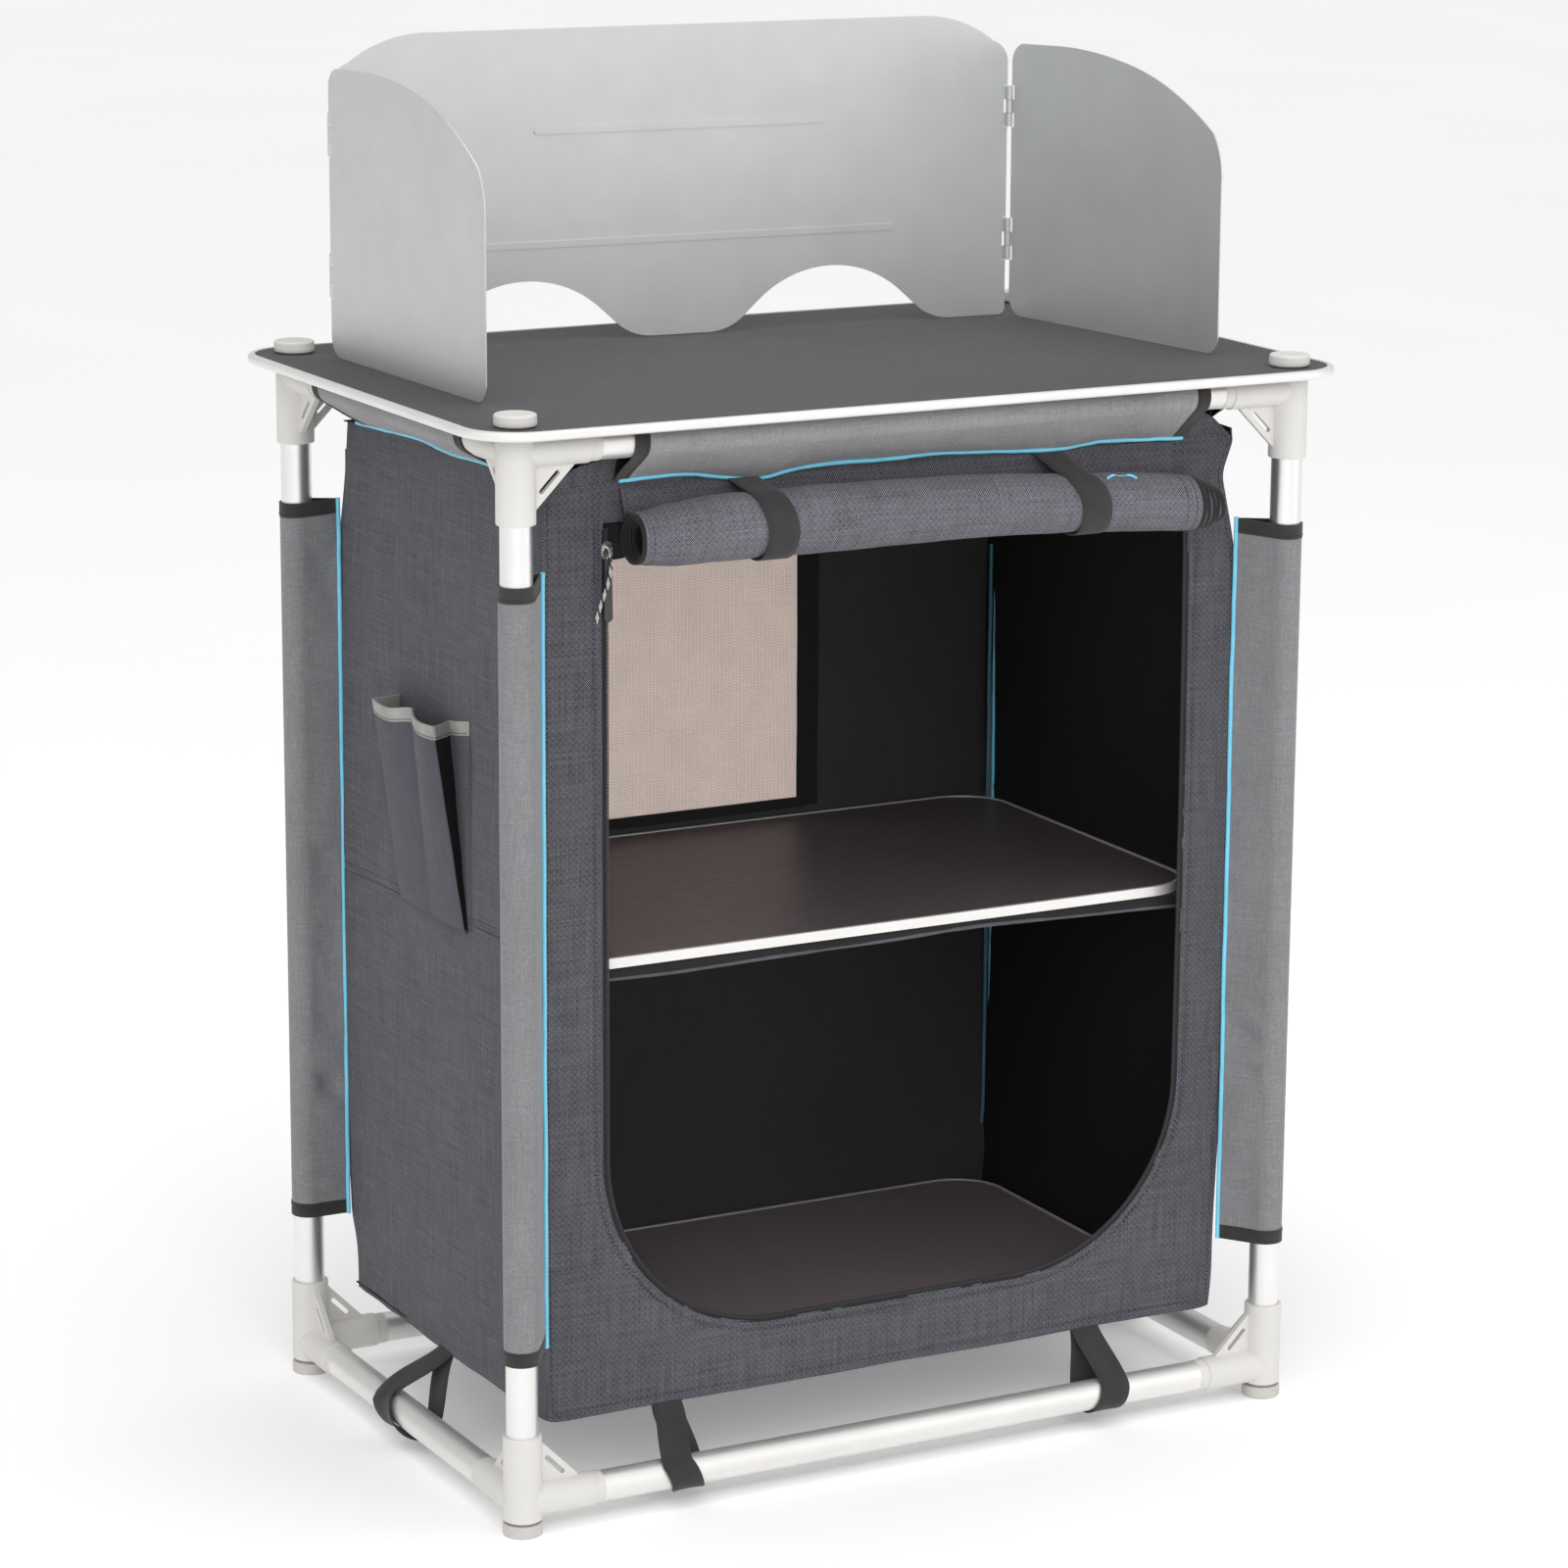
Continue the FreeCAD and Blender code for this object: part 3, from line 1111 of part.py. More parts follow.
def rail_sleeve(rail_at, tip_at, stand_up, direction, start, end):
    """Teardrop sleeve on a top rail, its tip down at the cabinet's top seam."""
    face = drop_section(rail_at, number("high_axis"), TUBE_RADIUS + 1.4, WRAP_INSIDE,
                        tip_at, CAB_HIGH.number + 3.0, 1.5)
    return extrude_between(face.transformGeometry(stand_up), direction, start, end)


fixed_piece("leg_sleeves", Part.makeCompound([leg_sleeve(*corner) for corner in CORNERS]))
fixed_piece("top_rail_sleeves",
            Part.makeCompound([rail_sleeve(*entry) for entry in RAIL_SLEEVES]))

# ------------------------------------------------ tie-down straps, bottom rails
TIE_WIDE = 27.0
# direction of the rail, outward side, middle of the strap along the rail
TIES = ((ALONG_X, -1, -203.0), (ALONG_X, -1, 189.0), (ALONG_X, 1, -195.0),
        (ALONG_X, 1, 195.0), (ALONG_Y, -1, 37.0), (ALONG_Y, 1, 0.0))


def tie_down(direction, side, middle):
    """Ring round a bottom rail and a band from it up the cabinet's hem."""
    height, hem = number("low_axis"), CAB_LOW.number
    start, end = middle - TIE_WIDE / 2, middle + TIE_WIDE / 2
    along_x = direction is ALONG_X
    if along_x:
        rail_at = side * LEG_Y.number
        wall = (CAB_FACE if side < 0 else CAB_REAR) + side * 0.3
    else:
        rail_at = side * LEG_X.number
        wall = side * (CAB_SIDE + 0.3)
    outside = wall + side * 1.3

    def spot(run, across, z):
        return Vector(run, across, z) if along_x else Vector(across, run, z)

    def rod(radius, extra=0.0):
        return Part.makeCylinder(radius, TIE_WIDE + 2 * extra,
                                 spot(start - extra, rail_at, height), direction)

    ring = rod(TUBE_RADIUS + 1.5).cut(rod(WRAP_INSIDE))
    points = [spot(0, rail_at - side * 8.5, height + 10.6),
              spot(0, rail_at - side * 7.0, height + 12.0),
              spot(0, outside, hem - 2.0), spot(0, outside, hem + 34.0),
              spot(0, wall, hem + 34.0), spot(0, wall, hem - 3.0)]
    face = Part.Face(Part.makePolygon(points + [points[0]]))
    band = extrude_between(face, direction, start, end)
    return ring.fuse(band.cut(rod(WRAP_INSIDE, 1.0))).removeSplitter()


fixed_piece("tie_down_straps",
            Part.makeCompound([solid for tie in TIES for solid in tie_down(*tie).Solids]))

# ----------------------------------------- utensil pocket on the left-hand wall
POCKET_LOW, POCKET_HIGH = 440.0, 608.0
POCKET_WALL = 1.2


def pocket_ring(z, shrink):
    """Plan section of the pocket at a height, shrunk by a wall thickness.
    It widens from POCKET_LOW to POCKET_HIGH and stays the same above."""
    flare = min(1.0, (z - POCKET_LOW) / (POCKET_HIGH - POCKET_LOW))
    wall_x = -CAB_SIDE - 0.3 - shrink
    face_x = -CAB_SIDE - 3.8 + shrink
    points = [Vector(wall_x, -50.0 - 2.0 * flare + shrink * 1.8, z),
              Vector(face_x - 19.2 * flare, -46.0 + 19.0 * flare + shrink * 0.6, z),
              Vector(face_x - 20.5 * flare, 21.0, z),
              Vector(face_x - 22.7 * flare, 77.5 - shrink, z),
              Vector(wall_x, 80.5 + 1.0 * flare - shrink, z)]
    return Part.makePolygon(points + [points[0]])


def utensil_pocket():
    """Open-topped flared pocket with one divider."""
    outer = Part.makeLoft([pocket_ring(POCKET_LOW, 0), pocket_ring(POCKET_HIGH, 0)],
                          True, True)
    hollow = Part.makeLoft([pocket_ring(446.0, POCKET_WALL), pocket_ring(612.0, POCKET_WALL)],
                           True, True)
    divider = Part.makeBox(60, POCKET_WALL, 160, Vector(-CAB_SIDE - 60, 20.6, 444.0))
    shell = outer.cut(hollow).fuse(divider.common(outer)).removeSplitter()
    return max(shell.Solids, key=lambda solid: solid.Volume)


fixed_piece("utensil_pocket", utensil_pocket())

# ------------------------------------------------- piping cords along the seams
PIPING_RADIUS = 1.5
PIPING_LOW = 139.0
FRONT_SEAM = (CAB_SIDE + 1.6, CAB_FACE - 1.7)       # x on the right-hand side, y
REAR_SEAM = (CAB_SIDE + 1.65, CAB_REAR - 2.0)
# side, seam, upper end
PIPING = ((-1, FRONT_SEAM, 751.0), (-1, REAR_SEAM, 748.0),
          (1, FRONT_SEAM, 744.0), (1, REAR_SEAM, 744.5))

fixed_piece("seam_piping", Part.makeCompound(
    [Part.makeCylinder(PIPING_RADIUS, top - PIPING_LOW, Vector(side * x, y, PIPING_LOW))
     for side, (x, y), top in PIPING]))

# -------------------------------------------------------------- check and export
doc.recompute()
bad = [obj.Name for obj in doc.Objects
       if any(state in ("Invalid", "Error") for state in obj.State)]
if bad:
    raise RuntimeError("objects that failed: " + ", ".join(bad))
os.makedirs("parts", exist_ok=True)
seen = set()
for label, obj in PARTS:
    if obj.Shape.isNull() or not obj.Shape.isValid():
        raise RuntimeError(label + " has no valid shape")
    if not obj.Shape.Solids:
        raise RuntimeError(label + " holds no solid")
    if label in seen:
        raise RuntimeError("label used twice: " + label)
    seen.add(label)
for label, obj in PARTS:
    obj.Shape.exportStep(os.path.join("parts", label + ".step"))
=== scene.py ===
"""Folding camp kitchen: a tube frame with tabletop and windshield, and a cloth cabinet hung in it.

The frame's hard pieces come from the CAD file and only get materials here. The cloth pieces,
webbing, piping, zip and window mesh are built here, in millimetres. X runs left to right,
the front faces -Y, Z is up and the floor lies at z = 0.
"""
import math

import bpy
import numpy as np
from mathutils import Matrix, Vector


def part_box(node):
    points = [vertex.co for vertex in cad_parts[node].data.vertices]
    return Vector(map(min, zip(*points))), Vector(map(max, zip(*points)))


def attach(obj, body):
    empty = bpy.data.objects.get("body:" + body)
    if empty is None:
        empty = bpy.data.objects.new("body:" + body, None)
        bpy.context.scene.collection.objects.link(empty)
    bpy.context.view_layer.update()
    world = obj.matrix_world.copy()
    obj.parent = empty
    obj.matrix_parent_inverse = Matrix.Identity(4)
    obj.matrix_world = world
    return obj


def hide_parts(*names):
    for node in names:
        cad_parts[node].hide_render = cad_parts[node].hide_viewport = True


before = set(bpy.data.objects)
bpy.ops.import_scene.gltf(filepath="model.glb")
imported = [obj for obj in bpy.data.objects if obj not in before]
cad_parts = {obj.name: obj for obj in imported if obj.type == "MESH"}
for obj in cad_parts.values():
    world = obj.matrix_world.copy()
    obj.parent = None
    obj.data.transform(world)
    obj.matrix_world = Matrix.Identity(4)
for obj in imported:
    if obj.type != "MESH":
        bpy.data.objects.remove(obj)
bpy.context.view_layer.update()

MM = 0.001
PI = math.pi


# ------------------------------------------------------------------ helpers
def box_mm(node):
    """Lowest and highest corner of a CAD piece, in millimetres."""
    low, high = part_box(node)
    return np.array(low) / MM, np.array(high) / MM


def unit(vectors):
    return vectors / np.maximum(np.linalg.norm(vectors, axis=-1, keepdims=True), 1e-12)


def smooth(t):
    t = np.clip(t, 0.0, 1.0)
    return t * t * (3 - 2 * t)


def bell(distance, width):
    return np.exp(-(distance / width) ** 2)


def join(*parts):
    """Broadcast the parts together and stack them as the last axis."""
    return np.stack(np.broadcast_arrays(*parts), -1)


def shares(rows, columns):
    """A column and a row of values from 0 to 1."""
    return np.linspace(0, 1, rows)[:, None], np.linspace(0, 1, columns)[None, :]


def lengths(path):
    """Running length along a path."""
    return np.concatenate([[0], np.cumsum(np.linalg.norm(np.diff(path, axis=0), axis=1))])


def resample(path, step):
    """The path with evenly spaced points, about one step apart."""
    run = lengths(path)
    even = np.linspace(0, run[-1], max(2, int(round(run[-1] / step)) + 1))
    return np.stack([np.interp(even, run, column) for column in path.T], -1)


def curve(x, table):
    """Smooth curve through a table of (x, y), level beyond its ends."""
    xs, ys = np.array(sorted(table), float).T
    x = np.clip(np.asarray(x, float), xs[0], xs[-1])
    slope = np.gradient(ys, xs)
    i = np.clip(np.searchsorted(xs, x) - 1, 0, len(xs) - 2)
    h = xs[i + 1] - xs[i]
    s = (x - xs[i]) / h
    return ((2 * s**3 - 3 * s**2 + 1) * ys[i] + (s**3 - 2 * s**2 + s) * h * slope[i]
            + (-2 * s**3 + 3 * s**2) * ys[i + 1] + (s**3 - s**2) * h * slope[i + 1])


class Noise:
    """Seeded value noise on a wrapped lattice."""
    SIZE = 97

    def __init__(self, seed):
        self.lattice = np.random.default_rng(seed).uniform(-1, 1, (self.SIZE, self.SIZE))

    def __call__(self, u, v):
        u, v = np.broadcast_arrays(np.asarray(u, float), np.asarray(v, float))
        i, j = np.floor(u).astype(int), np.floor(v).astype(int)
        s, t = smooth(u - i), smooth(v - j)

        def at(row, column):
            return self.lattice[row % self.SIZE, column % self.SIZE]

        return ((at(i, j) * (1 - s) + at(i + 1, j) * s) * (1 - t)
                + (at(i, j + 1) * (1 - s) + at(i + 1, j + 1) * s) * t)

    def fbm(self, u, v, octaves=3):
        """Octaves of noise, each at half the size and strength of the last."""
        total = 0.0
        for i in range(octaves):
            total = total + 0.5**i * self(u * 2**i + 13.7 * i, v * 2**i + 5.1 * i)
        return total / 1.6


NOISE_A, NOISE_B, NOISE_C, NOISE_D = Noise(11), Noise(23), Noise(37), Noise(51)


# ---------------------------------------------------------------- shader nodes
class Nodes:
    """Adds and links the nodes of one tree."""

    def __init__(self, tree):
        self.tree = tree
        tree.nodes.clear()

    def put(self, socket, value):
        if isinstance(value, bpy.types.NodeSocket):
            self.tree.links.new(value, socket)
        else:
            socket.default_value = (*value, 1) if socket.type == "RGBA" else value

    def node(self, kind, *values, **settings):
        """New node with its settings, and values for its first inputs."""
        node = self.tree.nodes.new(kind)
        for key, setting in settings.items():
            setattr(node, key, setting)
        for socket, value in zip(node.inputs, values):
            self.put(socket, value)
        return node

    def ramp(self, value, span, to=(0.0, 1.0)):
        return self.node("ShaderNodeMapRange", value, *span, *to).outputs[0]


class Shader(Nodes):
    """A procedural material around one Principled shader."""

    def __init__(self, name):
        self.material = bpy.data.materials.new(name)
        self.material.use_nodes = True
        super().__init__(self.material.node_tree)
        self.output = self.node("ShaderNodeOutputMaterial")
        self.surface = self.node("ShaderNodeBsdfPrincipled")
        self.put(self.output.inputs[0], self.surface.outputs[0])

    def set(self, **values):
        for key, value in values.items():
            self.put(self.surface.inputs[key.replace("_", " ")], value)

    def math(self, operation, *values, clamp=False):
        node = self.node("ShaderNodeMath", *values, operation=operation, use_clamp=clamp)
        return node.outputs[0]

    def plus(self, a, b):
        return self.math("ADD", a, b)

    def minus(self, a, b):
        return self.math("SUBTRACT", a, b)

    def times(self, a, b):
        return self.math("MULTIPLY", a, b)

    def plus_times(self, a, factor, base):
        """base + a * factor"""
        return self.math("MULTIPLY_ADD", a, factor, base)

    def wave(self, value, factor=PI):
        return self.math("SINE", self.times(value, factor))

    def ridge(self, value, factor=PI):
        return self.math("ABSOLUTE", self.wave(value, factor))

    def mix(self, share, a, b):
        node = self.node("ShaderNodeMix", data_type="RGBA", blend_type="MIX")
        for index, value in ((0, share), (6, a), (7, b)):
            self.put(node.inputs[index], value)
        return node.outputs[2]

    def brighten(self, colour, gain):
        node = self.node("ShaderNodeVectorMath", colour, operation="SCALE")
        self.put(node.inputs[3], gain)
        return node.outputs[0]

    def tint(self, base, gain):
        """One base colour, brightened by a varying gain."""
        return self.brighten(self.mix(0.0, base, base), gain)

    def cloth_place(self):
        """Across and along coordinates of the cloth, in metres."""
        place = self.node("ShaderNodeUVMap", uv_map="weave").outputs[0]
        return self.node("ShaderNodeSeparateXYZ", place).outputs[:2]

    def place(self):
        return self.node("ShaderNodeTexCoord").outputs["Object"]

    def vector(self, x, y, z=0.0):
        return self.node("ShaderNodeCombineXYZ", x, y, z).outputs[0]

    def noise(self, place, scale, detail=2.0, roughness=0.5, stretch=None):
        if stretch:
            mapping = self.node("ShaderNodeMapping", place)
            mapping.inputs["Scale"].default_value = stretch
            place = mapping.outputs[0]
        node = self.node("ShaderNodeTexNoise")
        values = {"Vector": place, "Scale": scale, "Detail": detail, "Roughness": roughness}
        for key, value in values.items():
            self.put(node.inputs[key], value)
        return node.outputs[0]

    def bump(self, height, strength, distance, under=None):
        node = self.node("ShaderNodeBump")
        values = {"Strength": strength, "Distance": distance, "Height": height}
        if under is not None:
            values["Normal"] = under
        for key, value in values.items():
            self.put(node.inputs[key], value)
        return node.outputs[0]


def weave_threads(s, pitch):
    """Plain weave: (height, 1 where the warp lies on top, variation from thread to thread)."""
    across, along = s.cloth_place()
    u = s.math("DIVIDE", across, pitch * MM)
    v = s.math("DIVIDE", along, pitch * MM)
    wave_u, wave_v = s.wave(u), s.wave(v)
    arch_u, arch_v = s.math("ABSOLUTE", wave_u), s.math("ABSOLUTE", wave_v)
    top = s.ramp(s.times(wave_u, wave_v), (-0.08, 0.08))

    def strand(own, other):
        return s.times(s.math("POWER", own, 0.6), s.plus_times(other, 0.45, 0.55))

    def random(x, y, layer=0.0):
        return s.noise(s.vector(x, y, layer), scale=0.83, detail=1.0)

    def uneven(a, b):
        return s.minus(s.plus(a, b), 1.0)

    warp, weft = strand(arch_u, arch_v), strand(arch_v, arch_u)
    height = s.plus(s.times(warp, top), s.times(weft, s.minus(1.0, top)))
    # single threads, then slubs about three threads wide, then a regular beat of three
    ends = random(s.math("FLOOR", u), s.times(v, 0.018))
    picks = random(s.times(u, 0.018), s.math("FLOOR", v), layer=7.3)
    thick_ends = random(s.math("FLOOR", s.times(u, 0.36)), s.times(v, 0.05), layer=3.1)
    thick_picks = random(s.times(u, 0.05), s.math("FLOOR", s.times(v, 0.36)), layer=11.9)
    variation = uneven(ends, picks)
    variation = s.plus_times(uneven(thick_ends, thick_picks), 0.38, variation)
    beat = s.times(s.wave(u, 2 * PI / 3), s.wave(v, 2 * PI / 3))
    return height, top, s.plus_times(beat, 0.55, variation)


def woven(name, dark, light, pitch, vary, blotch=0.12, speck=0.0, rough=0.9, sheen=0.12,
          bump=0.3):
    """Plain-weave cloth; vary, blotch and speck are its variations from fine thread to wide."""
    s = Shader(name)
    height, top, variation = weave_threads(s, pitch)
    colour = s.mix(s.math("MULTIPLY", top, height, clamp=True), dark, light)
    place = s.place()
    wide = s.noise(place, scale=9.0, detail=3.0)
    gain = s.plus(s.plus_times(variation, vary, 1.0), s.times(s.minus(wide, 0.5), blotch * 2))
    if speck:
        fine = s.noise(place, scale=620.0, detail=3.0, roughness=0.7)
        gain = s.plus(gain, s.times(s.minus(fine, 0.5), speck * 2))
    # painted shade: the low gaps between the threads are darkened and the thread tops brightened,
    # following the bump height
    painted_weave_shade = s.ramp(height, (0.0, 0.75), to=(0.72, 1.08))
    threads = s.bump(height, strength=bump, distance=pitch * MM * 0.45)
    s.set(
        Base_Color=s.brighten(colour, s.times(gain, painted_weave_shade)),
        Roughness=s.ramp(height, (0.0, 1.0), to=(min(rough + 0.08, 1.0), rough)),
        Sheen_Weight=sheen, Sheen_Roughness=0.45, Specular_IOR_Level=0.22,
        Normal=s.bump(s.noise(place, scale=60.0, detail=3.0), strength=0.06, distance=0.0012,
                      under=threads))
    return s.material


def ribbed(name, base, pitch):
    """Narrow tape with ribs across its length."""
    s = Shader(name)
    across, along = s.cloth_place()
    v = s.math("DIVIDE", along, pitch * MM)
    u = s.math("DIVIDE", across, 0.9 * MM)
    rib = s.ridge(s.plus(v, s.times(s.wave(u), 0.18)))
    height = s.plus_times(s.ridge(u), 0.35, s.times(rib, 0.65))
    blotch = s.noise(s.place(), scale=45.0, detail=4.0)
    # painted shade in the grooves between the ribs, following the bump height, times random
    # blotches of tone
    gain = s.times(s.ramp(height, (0, 1), to=(0.7, 1.15)),
                   s.ramp(blotch, (0.3, 0.7), to=(0.85, 1.15)))
    s.set(Base_Color=s.tint(base, gain), Roughness=0.85, Sheen_Weight=0.15,
          Specular_IOR_Level=0.25, Normal=s.bump(height, strength=0.35, distance=0.0004))
    return s.material


def moulded(name, base, rough=0.5, grain=900.0, dirt=0.06):
    """Moulded plastic with a fine grain."""
    s = Shader(name)
    place = s.place()
    fine = s.noise(place, scale=grain, detail=3.0, roughness=0.6)
    wide = s.noise(place, scale=14.0, detail=4.0)
    spots = s.noise(place, scale=130.0, detail=5.0, roughness=0.7)
    vary = 0.05
    gain = s.plus(1.0 - vary, s.plus(s.times(wide, vary * 2),
                                     s.times(s.ramp(spots, (0.62, 0.8)), -dirt)))
    grain_bump = s.bump(fine, strength=0.12, distance=0.00012)
    s.set(Base_Color=s.tint(base, gain),
          Roughness=s.ramp(fine, (0.3, 0.7), to=(rough - 0.08, rough + 0.1)),
          Specular_IOR_Level=0.45,
          Normal=s.bump(wide, strength=0.05, distance=0.0006, under=grain_bump))
    return s.material


def metal(name, base, rough=0.3, stretch=(1, 1, 0.012), grain=2600.0, strength=0.12,
          metallic=1.0, wear=0.08, spread=0.14):
    """Metal with a grain; a small stretch on one axis draws the grain out along it."""
    s = Shader(name)
    place = s.place()
    fine = s.noise(place, scale=grain, detail=2.0, roughness=0.6, stretch=stretch)
    wide = s.noise(place, scale=22.0, detail=4.0, roughness=0.6)
    spots = s.ramp(s.noise(place, scale=210.0, detail=5.0, roughness=0.75), (0.64, 0.78))
    gain = s.plus(s.ramp(wide, (0.3, 0.7), to=(0.97, 1.03)), s.times(spots, -wear))
    grain_rough = s.ramp(fine, (0.3, 0.7), to=(rough - spread / 2, rough + spread / 2))
    s.set(Base_Color=s.tint(base, gain), Metallic=metallic,
          Roughness=s.plus(grain_rough, s.times(spots, 0.12)),
          Normal=s.bump(fine, strength=strength, distance=0.00006))
    return s.material


def laminate(name, base, rough, specular):
    """Smooth board surface with a fine texture and rubbed patches."""
    s = Shader(name)
    place = s.place()
    fine = s.noise(place, scale=1500.0, detail=2.0, roughness=0.5)
    wide = s.noise(place, scale=7.0, detail=4.0, roughness=0.55)
    rubbed = s.noise(place, scale=60.0, detail=6.0, roughness=0.75, stretch=(1, 3.2, 1))
    gain = s.plus(s.ramp(wide, (0.3, 0.7), to=(0.95, 1.05)),
                  s.ramp(fine, (0.35, 0.65), to=(-0.04, 0.04)))
    s.set(Base_Color=s.tint(base, gain),
          Roughness=s.ramp(rubbed, (0.3, 0.75), to=(rough - 0.05, rough + 0.1)),
          Specular_IOR_Level=specular, Normal=s.bump(fine, strength=0.10, distance=0.00008))
    return s.material


def thread_shader(name, base, rough):
    """Twisted sewing thread and cord."""
    s = Shader(name)
    place = s.place()
    twist = s.noise(place, scale=2400.0, detail=2.0, roughness=0.5)
    wide = s.noise(place, scale=40.0, detail=3.0)
    # painted shade in the twist's grooves (the twist noise is also the bump), plus a random wide
    # tone
    gain = s.plus(s.ramp(twist, (0.3, 0.7), to=(0.78, 1.1)),
                  s.ramp(wide, (0.3, 0.7), to=(-0.06, 0.06)))
    s.set(Base_Color=s.tint(base, gain), Roughness=rough, Sheen_Weight=0.2,
          Specular_IOR_Level=0.3, Normal=s.bump(twist, strength=0.3, distance=0.0002))
    return s


def thread(name, base, rough=0.7):
    return thread_shader(name, base, rough).material


def gauze(name, base):
    """Fine pale thread that lets light from behind through."""
    s = thread_shader(name, base, rough=0.6)
    translucent = s.node("ShaderNodeBsdfTranslucent", base)
    translucent_share = 0.6
    mixed = s.node("ShaderNodeMixShader", translucent_share, s.surface.outputs[0],
                   translucent.outputs[0])
    s.put(s.output.inputs[0], mixed.outputs[0])
    return s.material


def piping(name, base):
    """A woven bias strip over a cord, with fine slanting threads."""
    s = Shader(name)
    across, along = s.cloth_place()
    per_thread = PI / (0.75 * MM)
    height = s.math("MAXIMUM", s.ridge(s.plus(across, along), per_thread),
                    s.ridge(s.minus(across, along), per_thread))
    wide = s.noise(s.place(), scale=30.0, detail=3.0)
    # painted shade between the slanting threads, following the bump height, times a random wide
    # tone
    gain = s.times(s.ramp(height, (0.3, 1.0), to=(0.82, 1.08)),
                   s.ramp(wide, (0.3, 0.7), to=(0.92, 1.08)))
    s.set(Base_Color=s.tint(base, gain), Roughness=0.55, Sheen_Weight=0.25,
          Specular_IOR_Level=0.35, Normal=s.bump(height, strength=0.25, distance=0.0002))
    return s.material


# ---------------------------------------------------------------- materials
CLOTH = woven("cabinet_weave", (0.014, 0.0137, 0.0165), (0.245, 0.242, 0.280),
              pitch=0.92, vary=0.85, bump=0.5)
# brightened copy of cabinet_weave, for the light falling on the roll's top: painted light
ROLL_CLOTH_PAINTED_LIGHT = woven("rolled_weave_painted_light", (0.022, 0.0215, 0.026), (0.385, 0.380, 0.435),
                   pitch=0.92, vary=0.85, bump=0.5)
POCKET_CLOTH = woven("pocket_weave", (0.038, 0.039, 0.049), (0.158, 0.160, 0.190),
                     pitch=0.62, vary=0.5, blotch=0.10)
LINING = woven("lining_coat", (0.0070, 0.0068, 0.0070), (0.0125, 0.0122, 0.0125),
               pitch=0.55, vary=0.2, blotch=0.18, rough=0.72, sheen=0.04, bump=0.12)
# brightened copy of lining_coat, for the light falling into the back of the cabinet: painted light
REAR_LINING_PAINTED_LIGHT = woven("rear_lining_coat_painted_light", (0.036, 0.035, 0.035), (0.058, 0.057, 0.057),
                    pitch=0.55, vary=0.3, blotch=0.2, rough=0.74, sheen=0.05, bump=0.12)
SLEEVE = woven("sleeve_weave", (0.150, 0.150, 0.158), (0.360, 0.358, 0.372),
               pitch=0.50, vary=0.4, blotch=0.16, speck=0.42, bump=0.2, sheen=0.2)
# brightened copy of sleeve_weave, for the light falling on the top rails: painted light
TOP_SLEEVE_PAINTED_LIGHT = woven("top_sleeve_weave_painted_light", (0.190, 0.186, 0.192), (0.500, 0.490, 0.500),
                   pitch=0.50, vary=0.4, blotch=0.20, speck=0.42, bump=0.25, sheen=0.2)
BINDING = ribbed("binding_tape", (0.038, 0.036, 0.034), pitch=0.8)
BLACK_TAPE = ribbed("zip_tape_weave", (0.014, 0.014, 0.015), pitch=0.7)
WEBBING = ribbed("strap_webbing", (0.036, 0.034, 0.034), pitch=1.5)
LIGHT_TAPE = ribbed("pocket_tape", (0.33, 0.32, 0.30), pitch=0.8)
DARK_THREAD = thread("dark_thread", (0.020, 0.021, 0.027))
CORD = piping("blue_piping", (0.185, 0.625, 0.840))
# darkened copy of blue_piping, for the cords in the shaded rear corners inside the cabinet:
# painted shade
INNER_CORD_PAINTED_SHADE = piping("inner_piping", (0.050, 0.190, 0.270))
HEM_TAPE = ribbed("sling_hem", (0.085, 0.085, 0.098), pitch=0.8)
MESH_THREAD = gauze("insect_mesh_thread", (0.98, 0.90, 0.85))
COIL = moulded("nylon_coil", (0.020, 0.020, 0.021), rough=0.38, grain=1500.0)
CONNECTOR = moulded("connector_moulded", (0.665, 0.650, 0.620), rough=0.46)
FOOT = moulded("foot_moulded", (0.530, 0.510, 0.485), rough=0.55, dirt=0.16)
INSERT = moulded("insert_moulded", (0.10, 0.10, 0.10))
TABLETOP = laminate("tabletop_laminate", (0.098, 0.094, 0.099), rough=0.58, specular=0.10)
SHELF = laminate("shelf_laminate", (0.098, 0.080, 0.087), rough=0.40, specular=0.35)
# brightened copy of shelf_laminate, for the light on the bottom shelf: painted light
LOW_SHELF_PAINTED_LIGHT = laminate("lower_shelf_laminate_painted_light", (0.190, 0.160, 0.170), rough=0.40, specular=0.35)
TUBES = {
    "x": metal("anodised_tube_x", (0.83, 0.815, 0.795), rough=0.46, metallic=0.8,
               stretch=(0.012, 1, 1)),
    "y": metal("anodised_tube_y", (0.83, 0.815, 0.795), rough=0.46, metallic=0.8,
               stretch=(1, 0.012, 1)),
    "z": metal("anodised_tube_z", (0.86, 0.85, 0.84), rough=0.38),
}
EDGE = metal("bright_edge_profile", (0.80, 0.785, 0.765), rough=0.45, stretch=(0.05, 0.05, 1),
             metallic=0.45, wear=0.04)
SHIELD = metal("shield_sheet", (0.62, 0.63, 0.63), rough=0.46, stretch=(1, 1, 0.35),
               grain=1900.0, strength=0.08, metallic=0.85, wear=0.03, spread=0.10)
STEEL = metal("drawn_wire", (0.60, 0.60, 0.60))
DARK_PULL = metal("dark_pull", (0.06, 0.06, 0.06), rough=0.42, stretch=(1, 1, 1), grain=700.0,
                  metallic=0.6)
NICKEL = metal("nickel_zip", (0.70, 0.70, 0.69), rough=0.26, stretch=(1, 1, 1), grain=700.0)


def paint(node, material):
    """Put one material on every slot of a CAD piece."""
    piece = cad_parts[node]
    if not piece.material_slots:
        piece.data.materials.append(material)
    for slot in piece.material_slots:
        slot.material = material


